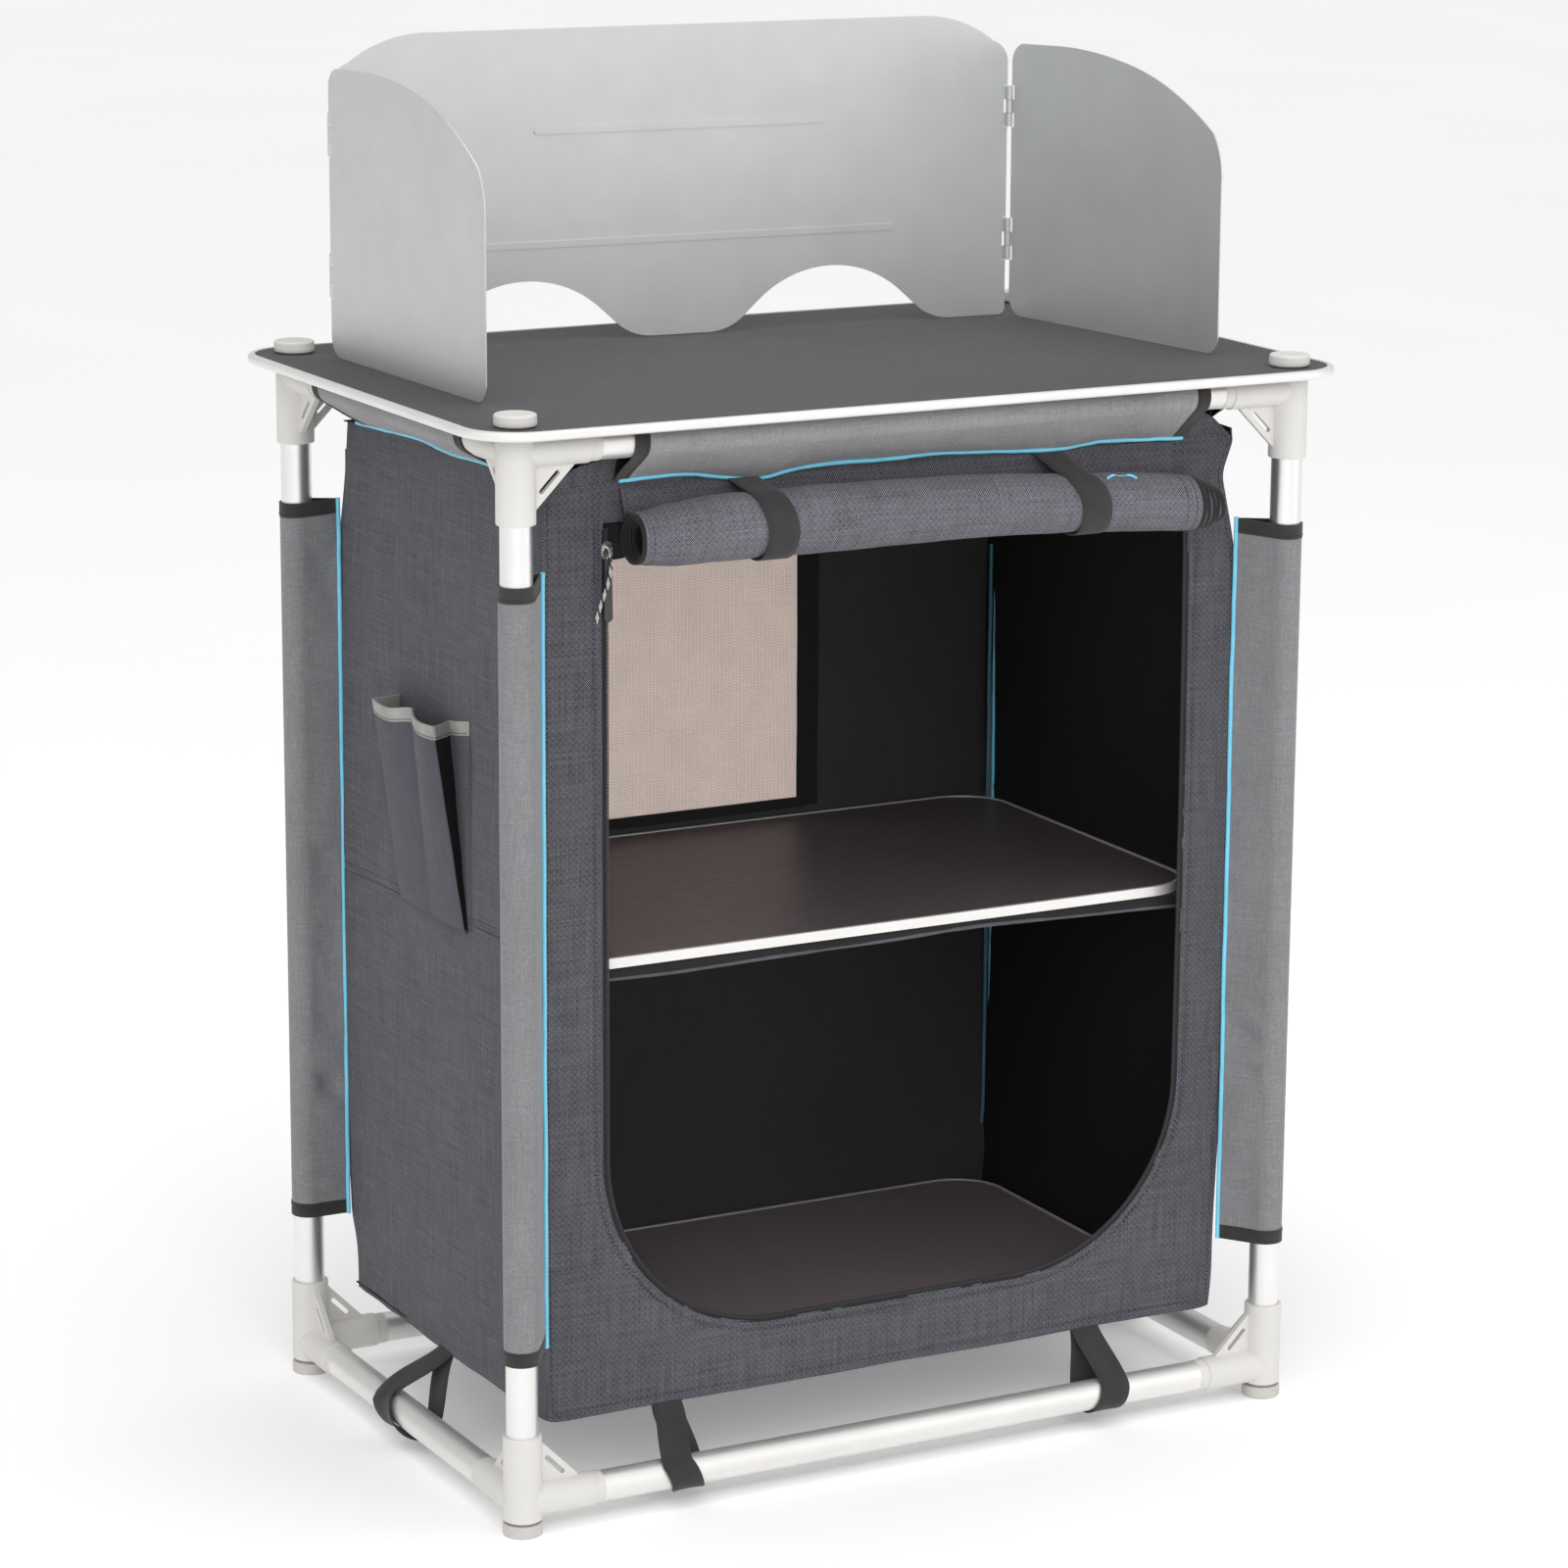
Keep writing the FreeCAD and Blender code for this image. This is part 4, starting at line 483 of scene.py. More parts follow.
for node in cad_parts:
    if node.startswith("leg_") and node != "leg_sleeves":
        paint(node, TUBES["z"])
    elif node.startswith(("bottom_rail_", "top_rail_")) and node != "top_rail_sleeves":
        paint(node, TUBES["x" if node.endswith(("front", "rear")) else "y"])
    elif "connector" in node or node.startswith("tabletop_cap_") or node == "rail_end_plugs":
        paint(node, CONNECTOR)
    elif node.startswith("levelling_foot_"):
        paint(node, FOOT)
for node, material in (
        ("foot_screw_inserts", INSERT), ("tabletop_board", TABLETOP), ("tabletop_edge", EDGE),
        # the bottom shelf board takes the brightened copy of the shelf laminate: painted light
        ("mid_shelf_board", SHELF), ("bottom_shelf_board", LOW_SHELF_PAINTED_LIGHT),
        ("mid_shelf_edge", EDGE), ("bottom_shelf_edge", EDGE),
        ("windshield_rear_panel", SHIELD), ("windshield_left_panel", SHIELD),
        ("windshield_right_panel", SHIELD), ("windshield_hinge_pins_left", STEEL),
        ("windshield_hinge_pins_right", STEEL), ("zip_slider", NICKEL),
        ("zip_pull", DARK_PULL)):
    paint(node, material)


# ------------------------------------------------------------- mesh building
STITCH_LENGTH, STITCH_RADIUS, STITCH_LIFT = 2.7, 0.36, 0.05
STITCH_SIDES = 6
# rings of one stitch: place along it (share of length), girth and rise (shares of radius)
STITCH_RINGS = np.array([(-0.5, 0.35, -0.9), (-0.34, 0.9, -0.1), (0, 1.0, 0.25),
                         (0.34, 0.9, -0.1), (0.5, 0.35, -0.9)])
# strap section: share of the half width, extra width in mm, share of the half thickness
BAND_SECTION = [
    (-1, 0, -0.5), (-1, 0.5, -1), (-0.5, 0, -1), (0, 0, -1), (0.5, 0, -1), (1, -0.5, -1),
    (1, 0, -0.5), (1, 0, 0.5), (1, -0.5, 1), (0.5, 0, 1), (0, 0, 1), (-0.5, 0, 1),
    (-1, 0.5, 1), (-1, 0, 0.5)]


def carried_frame(path):
    """Two directions square to the path, carried along it without twist."""
    tangent = unit(np.gradient(path, axis=0))
    start = np.array([0, 0, 1.0] if abs(tangent[0, 2]) < 0.9 else [1.0, 0, 0])
    normal = np.zeros_like(tangent)
    normal[0] = unit(start - tangent[0] * (start @ tangent[0]))
    for i in range(1, len(tangent)):
        turned = normal[i - 1] - tangent[i] * (normal[i - 1] @ tangent[i])
        normal[i] = turned / np.linalg.norm(turned)
    return normal, np.cross(tangent, normal)


class Builder:
    """Collects the parts of one mesh, in mm; faces name a material by its number in the list."""

    def __init__(self, *materials):
        self.materials = materials
        self.points, self.faces, self.coords, self.numbers = [], [], [], []
        self.count = 0

    def add(self, points):
        """Add points and return the number of the first."""
        points = np.asarray(points, float).reshape(-1, 3)
        self.points.append(points)
        self.count += len(points)
        return self.count - len(points)

    def put(self, faces, number, coords=None):
        """Add faces of 3 or 4 point numbers, with cloth coordinates for each corner."""
        faces = np.asarray(faces, np.int64)
        self.faces.append(faces)
        self.coords.append(np.zeros((*faces.shape, 2)) if coords is None else coords)
        self.numbers.append(np.full(len(faces), number, np.int32))

    def grid(self, first, rows, columns, coords, number, wrap_rows=False, wrap_columns=False,
             flip=False):
        i, j = np.meshgrid(np.arange(rows if wrap_rows else rows - 1),
                           np.arange(columns if wrap_columns else columns - 1), indexing="ij")
        i, j = i.ravel(), j.ravel()
        i2, j2 = (i + 1) % rows, (j + 1) % columns
        quads = first + join(i * columns + j, i2 * columns + j, i2 * columns + j2,
                             i * columns + j2)
        corners = np.stack([coords[i, j], coords[i + 1, j], coords[i + 1, j + 1],
                            coords[i, j + 1]], 1)
        if flip:
            quads, corners = quads[:, ::-1], corners[:, ::-1]
        self.put(quads, number, corners)

    def shell(self, surface, thick, coords, outer=0, inner=1, rim=None, closed=False):
        """Thin sheet about a grid of points; outer faces the side of rows x columns.

        A closed sheet wraps round from its last row to its first.
        """
        rows, columns = surface.shape[:2]
        rim = outer if rim is None else rim
        if closed:
            along_rows = np.roll(surface, -1, 0) - np.roll(surface, 1, 0)
        else:
            along_rows = np.gradient(surface, axis=0)
        offset = unit(np.cross(along_rows, np.gradient(surface, axis=1))) * thick / 2
        top, under = self.add(surface + offset), self.add(surface - offset)
        self.grid(top, rows, columns, coords, outer, wrap_rows=closed)
        self.grid(under, rows, columns, coords, inner, wrap_rows=closed, flip=True)

        def edge(ids, uv, flip):
            a, b = top + ids, under + ids
            quads = join(a[:-1], a[1:], b[1:], b[:-1])
            corners = np.stack([uv[:-1], uv[1:], uv[1:] + 0.6, uv[:-1] + 0.6], 1)
            if flip:
                quads, corners = quads[:, ::-1], corners[:, ::-1]
            self.put(quads, rim, corners)

        row, column = np.arange(rows), np.arange(columns)
        if closed:
            row = np.append(row, 0)
        edge(row * columns, coords[:, 0], True)
        edge(row * columns + columns - 1, coords[:, -1], False)
        if not closed:
            edge(column, coords[0], False)
            edge((rows - 1) * columns + column, coords[-1], True)

    def loop_shell(self, surface, thick, coords, outer=0, inner=1):
        """Sheet round a loop of section points by stations, with outer away from the middle."""
        facing = np.cross(np.gradient(surface, axis=0), np.gradient(surface, axis=1))
        if (facing * (surface - surface.mean(0, keepdims=True))).sum() < 0:
            surface, coords = surface[::-1], coords[::-1]
        self.shell(surface, thick, coords, outer, inner)

    def sweep(self, rings, coords, number=0):
        """Capped tube from rings (stations, sides, 3)."""
        stations, sides = rings.shape[:2]
        first = self.add(rings)
        self.grid(first, stations, sides, coords, number, wrap_columns=True, flip=True)
        for end, flip in ((0, False), (stations - 1, True)):
            middle = self.add(rings[end].mean(0))
            ids = first + end * sides + np.arange(sides)
            fan = join(ids, np.roll(ids, -1), middle)
            self.put(fan[:, ::-1] if flip else fan, number,
                     np.repeat(coords[end, :sides][:, None], 3, 1))

    def tube(self, path, radius, number=0, sides=10):
        normal, binormal = carried_frame(path)
        radii = np.broadcast_to(np.asarray(radius, float), (len(path),))[:, None, None]
        angle = (np.arange(sides) / sides * 2 * PI)[None, :, None]
        rings = path[:, None] + radii * (np.cos(angle) * normal[:, None]
                                         + np.sin(angle) * binormal[:, None])
        around = np.arange(sides + 1) / sides * 2 * PI * float(np.mean(radii))
        self.sweep(rings, join(around[None], lengths(path)[:, None]), number)

    def band(self, path, side, width, thick):
        """Flat strap along a path; side is the direction of its width."""
        tangent = unit(np.gradient(path, axis=0))
        wide = np.broadcast_to(np.asarray(side, float), path.shape)
        wide = unit(wide - tangent * (wide * tangent).sum(-1, keepdims=True))
        normal = np.cross(tangent, wide)
        half = width / 2
        rings = np.stack([path + wide * (share * half + extra) + normal * level * thick / 2
                          for share, extra, level in BAND_SECTION], 1)
        across = np.array([row[0] * half for row in BAND_SECTION] + [-half])
        self.sweep(rings, join(across[None], lengths(path)[:, None]))

    def sew(self, path, normal, pitch=3.9):
        """A row of dark stitches along a path on a surface with this normal."""
        rows = np.concatenate([path, np.broadcast_to(normal, path.shape)], 1)
        rows = resample(rows, step=0.5)
        run = lengths(rows[:, :3])
        middles = np.arange(pitch / 2, run[-1], pitch)

        def at(where):
            return np.stack([np.interp(where, run, column) for column in rows.T], -1)

        here = at(middles)
        along = unit((at(middles + 0.6) - at(middles - 0.6))[:, :3])
        up = unit(here[:, 3:] - along * (here[:, 3:] * along).sum(-1, keepdims=True))
        side = np.cross(along, up)
        place, girth, rise = STITCH_RINGS.T[:, :, None]
        sides, rings = STITCH_SIDES, len(STITCH_RINGS)
        angle = np.arange(sides) / sides * 2 * PI
        height = (girth * np.sin(angle) * 0.8 + rise * 0.5) * STITCH_RADIUS
        breadth = girth * np.cos(angle) * STITCH_RADIUS
        first = self.add((here[:, :3] + up * STITCH_LIFT)[:, None, None]
                         + along[:, None, None] * (place * STITCH_LENGTH)[..., None]
                         + up[:, None, None] * height[..., None]
                         + side[:, None, None] * breadth[..., None])
        first = first + (np.arange(len(here)) * rings * sides)[:, None, None]
        quads = np.array([(i * sides + j, i * sides + (j + 1) % sides,
                           (i + 1) * sides + (j + 1) % sides, (i + 1) * sides + j)
                          for i in range(rings - 1) for j in range(sides)])
        number = self.materials.index(DARK_THREAD)
        self.put((quads + first).reshape(-1, 4), number)
        last = (rings - 1) * sides
        ends = np.array([range(sides)[::-1], range(last, last + sides)])
        caps = (ends + first).reshape(-1, sides)
        self.put(np.concatenate([join(caps[:, 0], caps[:, j], caps[:, j + 1])
                                 for j in range(1, sides - 1)]), number)

    def build(self, name, slot, *replaced, body="root", sharp=48):
        """Make the object; faces meeting at more than sharp degrees keep a hard edge."""
        mesh = bpy.data.meshes.new(name)
        points = np.concatenate(self.points) * MM
        corners = np.concatenate([faces.ravel() for faces in self.faces])
        sizes = np.concatenate([np.full(len(faces), faces.shape[1]) for faces in self.faces])
        coords = np.concatenate([part.reshape(-1, 2) for part in self.coords]) * MM
        starts = np.concatenate([[0], np.cumsum(sizes)[:-1]])
        mesh.vertices.add(len(points))
        mesh.vertices.foreach_set("co", points.astype(np.float32).ravel())
        mesh.loops.add(len(corners))
        mesh.loops.foreach_set("vertex_index", corners.astype(np.int32))
        mesh.polygons.add(len(sizes))
        mesh.polygons.foreach_set("loop_start", starts.astype(np.int32))
        mesh.polygons.foreach_set("material_index", np.concatenate(self.numbers))
        layer = mesh.uv_layers.new(name="weave")
        mesh.update(calc_edges=True)
        layer.data.foreach_set("uv", coords.astype(np.float32).ravel())
        mesh.polygons.foreach_set("use_smooth", np.ones(len(sizes), bool))
        mesh.validate()
        mesh.set_sharp_from_angle(angle=math.radians(sharp))
        mesh.update()
        for material in self.materials:
            mesh.materials.append(material)
        piece = bpy.data.objects.new(name, mesh)
        bpy.context.scene.collection.objects.link(piece)
        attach(piece, body)
        if replaced:
            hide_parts(*replaced)


# ------------------------------------------------------------- cabinet walls
LEFT, _, BOTTOM = box_mm("cabinet_left_wall")[0]
TOP = box_mm("cabinet_left_wall")[1][2]
RIGHT = box_mm("cabinet_right_wall")[1][0]
FRONT = box_mm("cabinet_front_panel")[0][1]
BACK = box_mm("cabinet_rear_wall")[1][1]
WIDTH, DEPTH = RIGHT - LEFT, BACK - FRONT
CLOTH_THICK = 1.3
FACING_FRONT = np.array([0, -1.0, 0])

# how far each corner is drawn in: (height, shift) along x, then along y
CORNERS = {
    "front_left": ([(BOTTOM, 2.0), (95, 0.6), (135, 0), (745, 0), (TOP, 0.5)],
                   [(BOTTOM, 1.5), (95, 0.3), (135, 0), (745, 0), (TOP, 0)]),
    "front_right": ([(BOTTOM, 2.0), (95, 0.6), (135, 0), (741, 0.4), (762, 4.5), (781, 7.4),
                     (797, 3.0), (808, 0), (TOP, 1.0)],
                    [(BOTTOM, 1.5), (95, 0.3), (135, 0), (741, 0), (781, 1.5), (TOP, 0)]),
    "rear_left": ([(BOTTOM, 3.0), (100, 1.5), (140, 0), (745, 0), (TOP, 2)],
                  [(BOTTOM, 5.5), (95, 8.5), (113, 8.5), (139, 0.5), (160, 0), (735, 0),
                   (760, 5.0), (TOP, 11.0)]),
    "rear_right": ([(BOTTOM, 3.0), (100, 2.0), (140, 0), (745, 0), (TOP, 2)],
                   [(BOTTOM, 5.0), (95, 7.0), (115, 7.0), (140, 0.5), (160, 0), (735, 0),
                    (760, 4.0), (TOP, 9.0)]),
}
# wall: start and end corner, outward direction, seed, length, and for x and y the power
# with which the corners' shifts die out along the wall
WALLS = {
    "left": ("rear_left", "front_left", (-1, 0), 1, DEPTH, (1, 3)),
    "right": ("front_right", "rear_right", (1, 0), 2, DEPTH, (1, 3)),
    "front": ("front_left", "front_right", (0, -1), 3, WIDTH, (4, 1)),
    "rear": ("rear_right", "rear_left", (0, 1), 4, WIDTH, (4, 12)),
}
# height of the front panel's top seam: (x, z)
TOP_SEAM = [
    (-308, 812.5), (-264, 815.5), (-244, 817.5), (-226, 818.1), (-181, 817.9), (-152, 813),
    (-118, 811.1), (-102, 814.3), (-56, 817.4), (-19, 816.9), (28, 818), (80, 815.9),
    (113, 814.1), (151, 813.7), (179, 816.4), (218, 815.3), (256, 813.9), (300, 811),
    (308, 808)]
# top edge of both side walls: (y, z)
SIDE_TOP = [(-182, TOP + 3.0), (-90, TOP + 5.5), (-24, TOP + 4.2), (32, TOP + 6.4),
            (88, TOP + 4.8), (157, TOP + 2.2), (197, TOP - 2.0)]
SIDE_SEAM_BACK = box_mm("mid_shelf_board")[0][2] + 5.0
SIDE_SEAM_RISE = 15
POCKET_LOW, POCKET_HIGH = box_mm("utensil_pocket")


def square_corner(name):
    return LEFT if "left" in name else RIGHT, FRONT if "front" in name else BACK


def corner(name, z):
    """Plan position of a cabinet corner at height z."""
    x, y = square_corner(name)
    shift_x, shift_y = CORNERS[name]
    return (x + (1 if "left" in name else -1) * curve(z, shift_x),
            y + (1 if "front" in name else -1) * curve(z, shift_y))


def wall(side, u, z, amp, bulge=0.0):
    """Plan position of the cloth at share u along a wall and height z, with its wrinkles."""
    start, end, out, seed, length, powers = WALLS[side]
    x, y = (a0 * (1 - u) + b0 * u + (a - a0) * (1 - u) ** power + (b - b0) * u**power
            for a, b, a0, b0, power in zip(corner(start, z), corner(end, z),
                                           square_corner(start), square_corner(end), powers))
    s = u * length
    nearest = np.minimum(u, 1 - u)
    wide = NOISE_A if seed % 2 else NOISE_B
    waves = (wide.fbm(s / 120 + seed, z / 170 + seed) * 1.4
             + wide.fbm(s / 34 + 9 * seed, z / 60, 2) * 0.35)
    puckers = ((bell(z - BOTTOM, 26.0) + bell(z - TOP, 26.0))
               * NOISE_C.fbm(s / 42 + seed * 3, z / 50, 2) * 1.3)
    by_corner = (np.exp(-nearest * length / 22.0) * NOISE_D.fbm(z / 30 + seed * 5, s / 30, 2)
                 * np.clip(nearest * length / 5, 0, 1))
    swell = np.sin(PI * np.clip(u, 0, 1)) * np.sin(PI * np.clip((z - BOTTOM) / (TOP - BOTTOM),
                                                                0, 1))
    depth = ((waves + puckers) * amp * np.clip(nearest * 10, 0, 1) + by_corner * amp
             + bulge * swell)
    return x + out[0] * depth, y + out[1] * depth


def hem(s, seed):
    """Waviness of the bottom edge."""
    return NOISE_C.fbm(s / 55 + seed, seed * 1.7, 2) * 1.5


def side_seam(y):
    """Height of the seam across a side wall, rising towards the front."""
    return SIDE_SEAM_BACK + SIDE_SEAM_RISE * np.clip((BACK - y) / DEPTH, 0, 1)


def near_pocket(value, axis):
    """One over the pocket's extent along an axis, fading to zero beyond it."""
    return (smooth((value - (POCKET_LOW[axis] - 40)) / 30)
            * smooth((POCKET_HIGH[axis] + 40 - value) / 30))


def side_wall(side, has_pocket=False):
    seed = WALLS[side][3]
    out = np.array([*WALLS[side][2], 0.0])
    u, v = shares(120, 230)
    s = u * DEPTH
    y_plan = FRONT + s if side == "right" else BACK - s
    low = BOTTOM + hem(s, seed) + 2.4 * np.exp(-np.minimum(s, DEPTH - s) / 5.0)
    z = low + (curve(y_plan, SIDE_TOP) - low) * v
    # the cloth lies flat behind the pocket
    amp = 1.0 - near_pocket(y_plan, 1) * near_pocket(z, 2) if has_pocket else 1.0
    x, y = wall(side, u, z, amp, bulge=-1.2)
    from_seam = z - side_seam(y_plan)
    puckers = (0.5 + 0.9 * NOISE_D.fbm(s / 16, z / 25 + seed, 2)) * amp
    groove = bell(from_seam, 1.3) * 1.5 + bell(from_seam, 11.0) * puckers
    hem_fold = bell(z - low - 12.0, 1.1) * 0.35
    sunk = groove * 0.8 + hem_fold + CLOTH_THICK / 2
    surface = join(x, y, z) - out * sunk[..., None]
    cloth = Builder(CLOTH, LINING, DARK_THREAD)
    cloth.shell(surface, CLOTH_THICK, join(s, z))

    face = surface + out * (CLOTH_THICK / 2 + 0.05)
    cloth.sew((face[:, 0] + (0, 0, 9.0))[3:-3] + out * 0.15, out)
    for offset in (-3.2, 3.4):
        heights = side_seam(face[:, 0, 1]) + offset
        row = np.array([[np.interp(height, column[:, 2], column[:, 0]),
                         np.interp(height, column[:, 2], column[:, 1]), height]
                        for column, height in zip(face, heights)])
        cloth.sew(row[3:-3] + out * 0.05, out)
    cloth.build(side + "_wall_cloth", "cabinet_cloth", f"cabinet_{side}_wall")


side_wall("left", has_pocket=True)
side_wall("right")

# ------------------------------------------- front panel with its door opening
ZIP_LOW, ZIP_HIGH = box_mm("zip_tape")
OPEN_LEFT, OPEN_RIGHT, OPEN_BOTTOM = ZIP_LOW[0] - 0.1, ZIP_HIGH[0] + 0.1, ZIP_LOW[2] - 0.1
OPEN_TOP_LEFT, OPEN_TOP_RIGHT, OPEN_RADIUS = 786.0, 771.0, 152.0
PANEL_TOP_LEFT, PANEL_TOP_RIGHT = 812.0, 807.6
SIDE_STEPS, ARC_STEPS, BOTTOM_STEPS, TOP_STEPS = 190, 90, 90, 60
RIGHT_START = SIDE_STEPS + 2 * ARC_STEPS + BOTTOM_STEPS
RIGHT_END = RIGHT_START + SIDE_STEPS


def opening_outline():
    """Opening outline (x, z): down the left side, round the bottom, up the right, back on top."""
    side, arc, bottom, top = (np.linspace(0, 1, steps, endpoint=False)
                              for steps in (SIDE_STEPS, ARC_STEPS, BOTTOM_STEPS, TOP_STEPS))
    angle, radius = arc * PI / 2, OPEN_RADIUS
    near, far = radius * (1 - np.cos(angle)), radius * (1 - np.sin(angle))
    return np.concatenate([
        join(OPEN_LEFT, OPEN_TOP_LEFT - side * (OPEN_TOP_LEFT - OPEN_BOTTOM - radius)),
        join(OPEN_LEFT + near, OPEN_BOTTOM + far),
        join(OPEN_LEFT + radius + bottom * (OPEN_RIGHT - OPEN_LEFT - 2 * radius), OPEN_BOTTOM),
        join(OPEN_RIGHT - far, OPEN_BOTTOM + near),
        join(OPEN_RIGHT, OPEN_BOTTOM + radius + side * (OPEN_TOP_RIGHT - OPEN_BOTTOM - radius)),
        join(OPEN_RIGHT - top * (OPEN_RIGHT - OPEN_LEFT),
             OPEN_TOP_RIGHT + top * (OPEN_TOP_LEFT - OPEN_TOP_RIGHT))])


def panel_outline(count):
    """Outside edge of the panel (x, z), one point for each point of the opening."""
    index = np.arange(count)
    corner_left = SIDE_STEPS + ARC_STEPS // 2
    corner_right = SIDE_STEPS + ARC_STEPS + BOTTOM_STEPS + ARC_STEPS // 2
    x = np.interp(index, [corner_left, corner_right, RIGHT_END, count],
                  [LEFT, RIGHT, RIGHT, LEFT])
    arc_top = OPEN_BOTTOM + OPEN_RADIUS
    z = np.interp(index, [0, SIDE_STEPS, corner_left, corner_right, RIGHT_START, RIGHT_END],
                  [OPEN_TOP_LEFT, arc_top, BOTTOM, BOTTOM, arc_top, OPEN_TOP_RIGHT])
    # the last 90 mm of each side are stretched up to the panel's top corners
    open_top = np.where(index < corner_right, OPEN_TOP_LEFT, OPEN_TOP_RIGHT)
    panel_top = np.where(index < corner_right, PANEL_TOP_LEFT, PANEL_TOP_RIGHT)
    z = z + (panel_top - open_top) * smooth((z - (open_top - 90)) / 90)
    # along the top these heights only scale the distance from the opening
    z[RIGHT_END] = OPEN_TOP_LEFT + PANEL_TOP_RIGHT - OPEN_TOP_RIGHT
    z[RIGHT_END + 1:] = 900
    return join(x, z)


def outline_out(points):
    """Directions pointing away from the opening along its outline."""
    tangent = unit(np.gradient(points, axis=0))
    return join(tangent[:, 1], -tangent[:, 0])


def zip_run(x, z):
    """One on the zip's straight left run, where the cloth lies flat; zero away from it."""
    return (np.clip(1.35 * bell(x - OPEN_LEFT - 1.0, 15.0), 0, 1) * smooth((z - 235) / 40)
            * smooth((800 - z) / 15))


def front_y(x, z):
    """Depth of the front panel's outer face."""
    y = wall("front", np.clip((x - LEFT) / WIDTH, 0, 1), z, amp=0.7)[1]
    flat = zip_run(x, z)
    return y * (1 - flat) + FRONT * flat


def on_front(x, z, lift=0.2):
    return join(x, front_y(x, z) - lift, z)


OPENING = opening_outline()
# rows of stitches down the panel's top corners: x, lowest and highest z
CORNER_STITCHES = [
    (-264.2, 740, 812), (-260.2, 740, 812), (-249.4, 799, 812), (-246.5, 799, 812),
    (-242, 799, 812), (241.5, 799, 811), (244.4, 799, 811), (247.2, 799, 811),
    (261.4, 799, 811)]


def front_panel():
    """A ring of cloth between the opening and the panel's outside edge."""
    outside = panel_outline(len(OPENING))
    share = np.concatenate([np.linspace(0, 0.04, 4, endpoint=False),
                            np.linspace(0.04, 0.30, 9, endpoint=False),
                            np.linspace(0.30, 1, 17)])
    ring = OPENING[:, None] * (1 - share[:, None]) + outside[:, None] * share[:, None]
    x, z = ring[..., 0], ring[..., 1]
    seam = curve(outside[RIGHT_END:, 0], TOP_SEAM)[:, None]
    z[RIGHT_END:] = OPENING[RIGHT_END:, 1:] * (1 - share) + seam * share
    hem_drop = hem(x, 3.0) + 2.4 * np.exp(-np.minimum(x - LEFT, RIGHT - x) / 5.0)
    z = z + bell(z - BOTTOM, 8.0) * hem_drop * share**2
    left_share = np.clip((OPEN_LEFT - x) / (OPEN_LEFT - LEFT), 0, 1)
    right_share = np.clip((x - OPEN_RIGHT) / (RIGHT - OPEN_RIGHT), 0, 1)
    x = (x + (corner("front_left", z)[0] - LEFT) * left_share**3
         + (corner("front_right", z)[0] - RIGHT) * right_share**3)
    distance = share * np.hypot(*(outside - OPENING).T)[:, None]
    y = front_y(x, z)
    # two stitched grooves with a ridge between, wrinkles by the zip, and the hem's groove
    y = (y + 0.55 * bell(distance - 5.6, 0.9) + 0.45 * bell(distance - 9.2, 0.9)
         - 0.5 * bell(distance - 7.4, 1.3))
    y = y - (0.9 * NOISE_D.fbm(x / 26, z / 26, 2) * np.exp(-distance / 14.0)
             * (1 - zip_run(x, z)))
    y = y + 0.35 * bell(z - BOTTOM - 8.5, 0.9)
    # reversed, so that the outer side faces the front
    surface = join(x, y + CLOTH_THICK / 2, z)
    surface = np.concatenate([surface, surface[:1]])[:0:-1]
    coords = join(x + 1000, z)
    coords = np.concatenate([coords, coords[:1]])[::-1]
    cloth = Builder(CLOTH, LINING, CLOTH, DARK_THREAD)
    cloth.shell(surface, CLOTH_THICK, coords, rim=2, closed=True)

    edge = OPENING[2:RIGHT_END - 2]
    for offset in (6.6, 8.4):
        line = edge + outline_out(edge) * offset
        cloth.sew(on_front(line[:, 0], line[:, 1], lift=0.25), FACING_FRONT)
    for x, low, high in CORNER_STITCHES:
        z = np.linspace(low, high, max(8, int((high - low) / 2)))
        cloth.sew(on_front(np.full_like(z, x), z), FACING_FRONT)
    z = np.linspace(84, 806, 360)
    for name, inward in (("front_left", 1), ("front_right", -1)):
        cloth.sew(on_front(corner(name, z)[0] + inward * 4.6, z), FACING_FRONT)
    x = np.linspace(LEFT + 8, RIGHT - 8, 300)
    cloth.sew(on_front(x, BOTTOM + 7.5 + hem(x, 3.0)), FACING_FRONT)
    cloth.build("front_panel_cloth", "cabinet_cloth", "cabinet_front_panel")


# small flaps above the panel's top seam: name, left and right x, top edge (x, z)
FLAPS = [
    ("corner_flap_right", 258.0, 305.0,
     [(258, 836), (272, 834), (284.7, 829), (296, 820), (305, 811.5)]),
    ("corner_flap_left", -304.0, -243.0,
     [(-304, 812), (-296, 818), (-286, 828), (-268, 834), (-243, 836)])]


def corner_flap(name, left, right, top):
    """Cloth that rises from the top seam towards the rail at one front corner."""
    u, v = shares(50, 16)
    x = left + (right - left) * u
    low = curve(x, TOP_SEAM) - 0.5
    z = low + (np.maximum(curve(x, top), low + 0.6) - low) * v
    y = (front_y(x, low) - 0.3 - 9.0 * ((z - low) / 22.0) ** 1.5
         + 1.2 * NOISE_B.fbm(x / 14, z / 14, 2) * v)
    cloth = Builder(CLOTH, LINING, DARK_THREAD)
    cloth.shell(join(x, y, z), 1.1, join(x, z))
    cloth.sew(join(x[:, 0], y[:, 0] - 0.8, low[:, 0] + 1.6)[2:-2], FACING_FRONT)
    cloth.build(name, "cabinet_cloth")


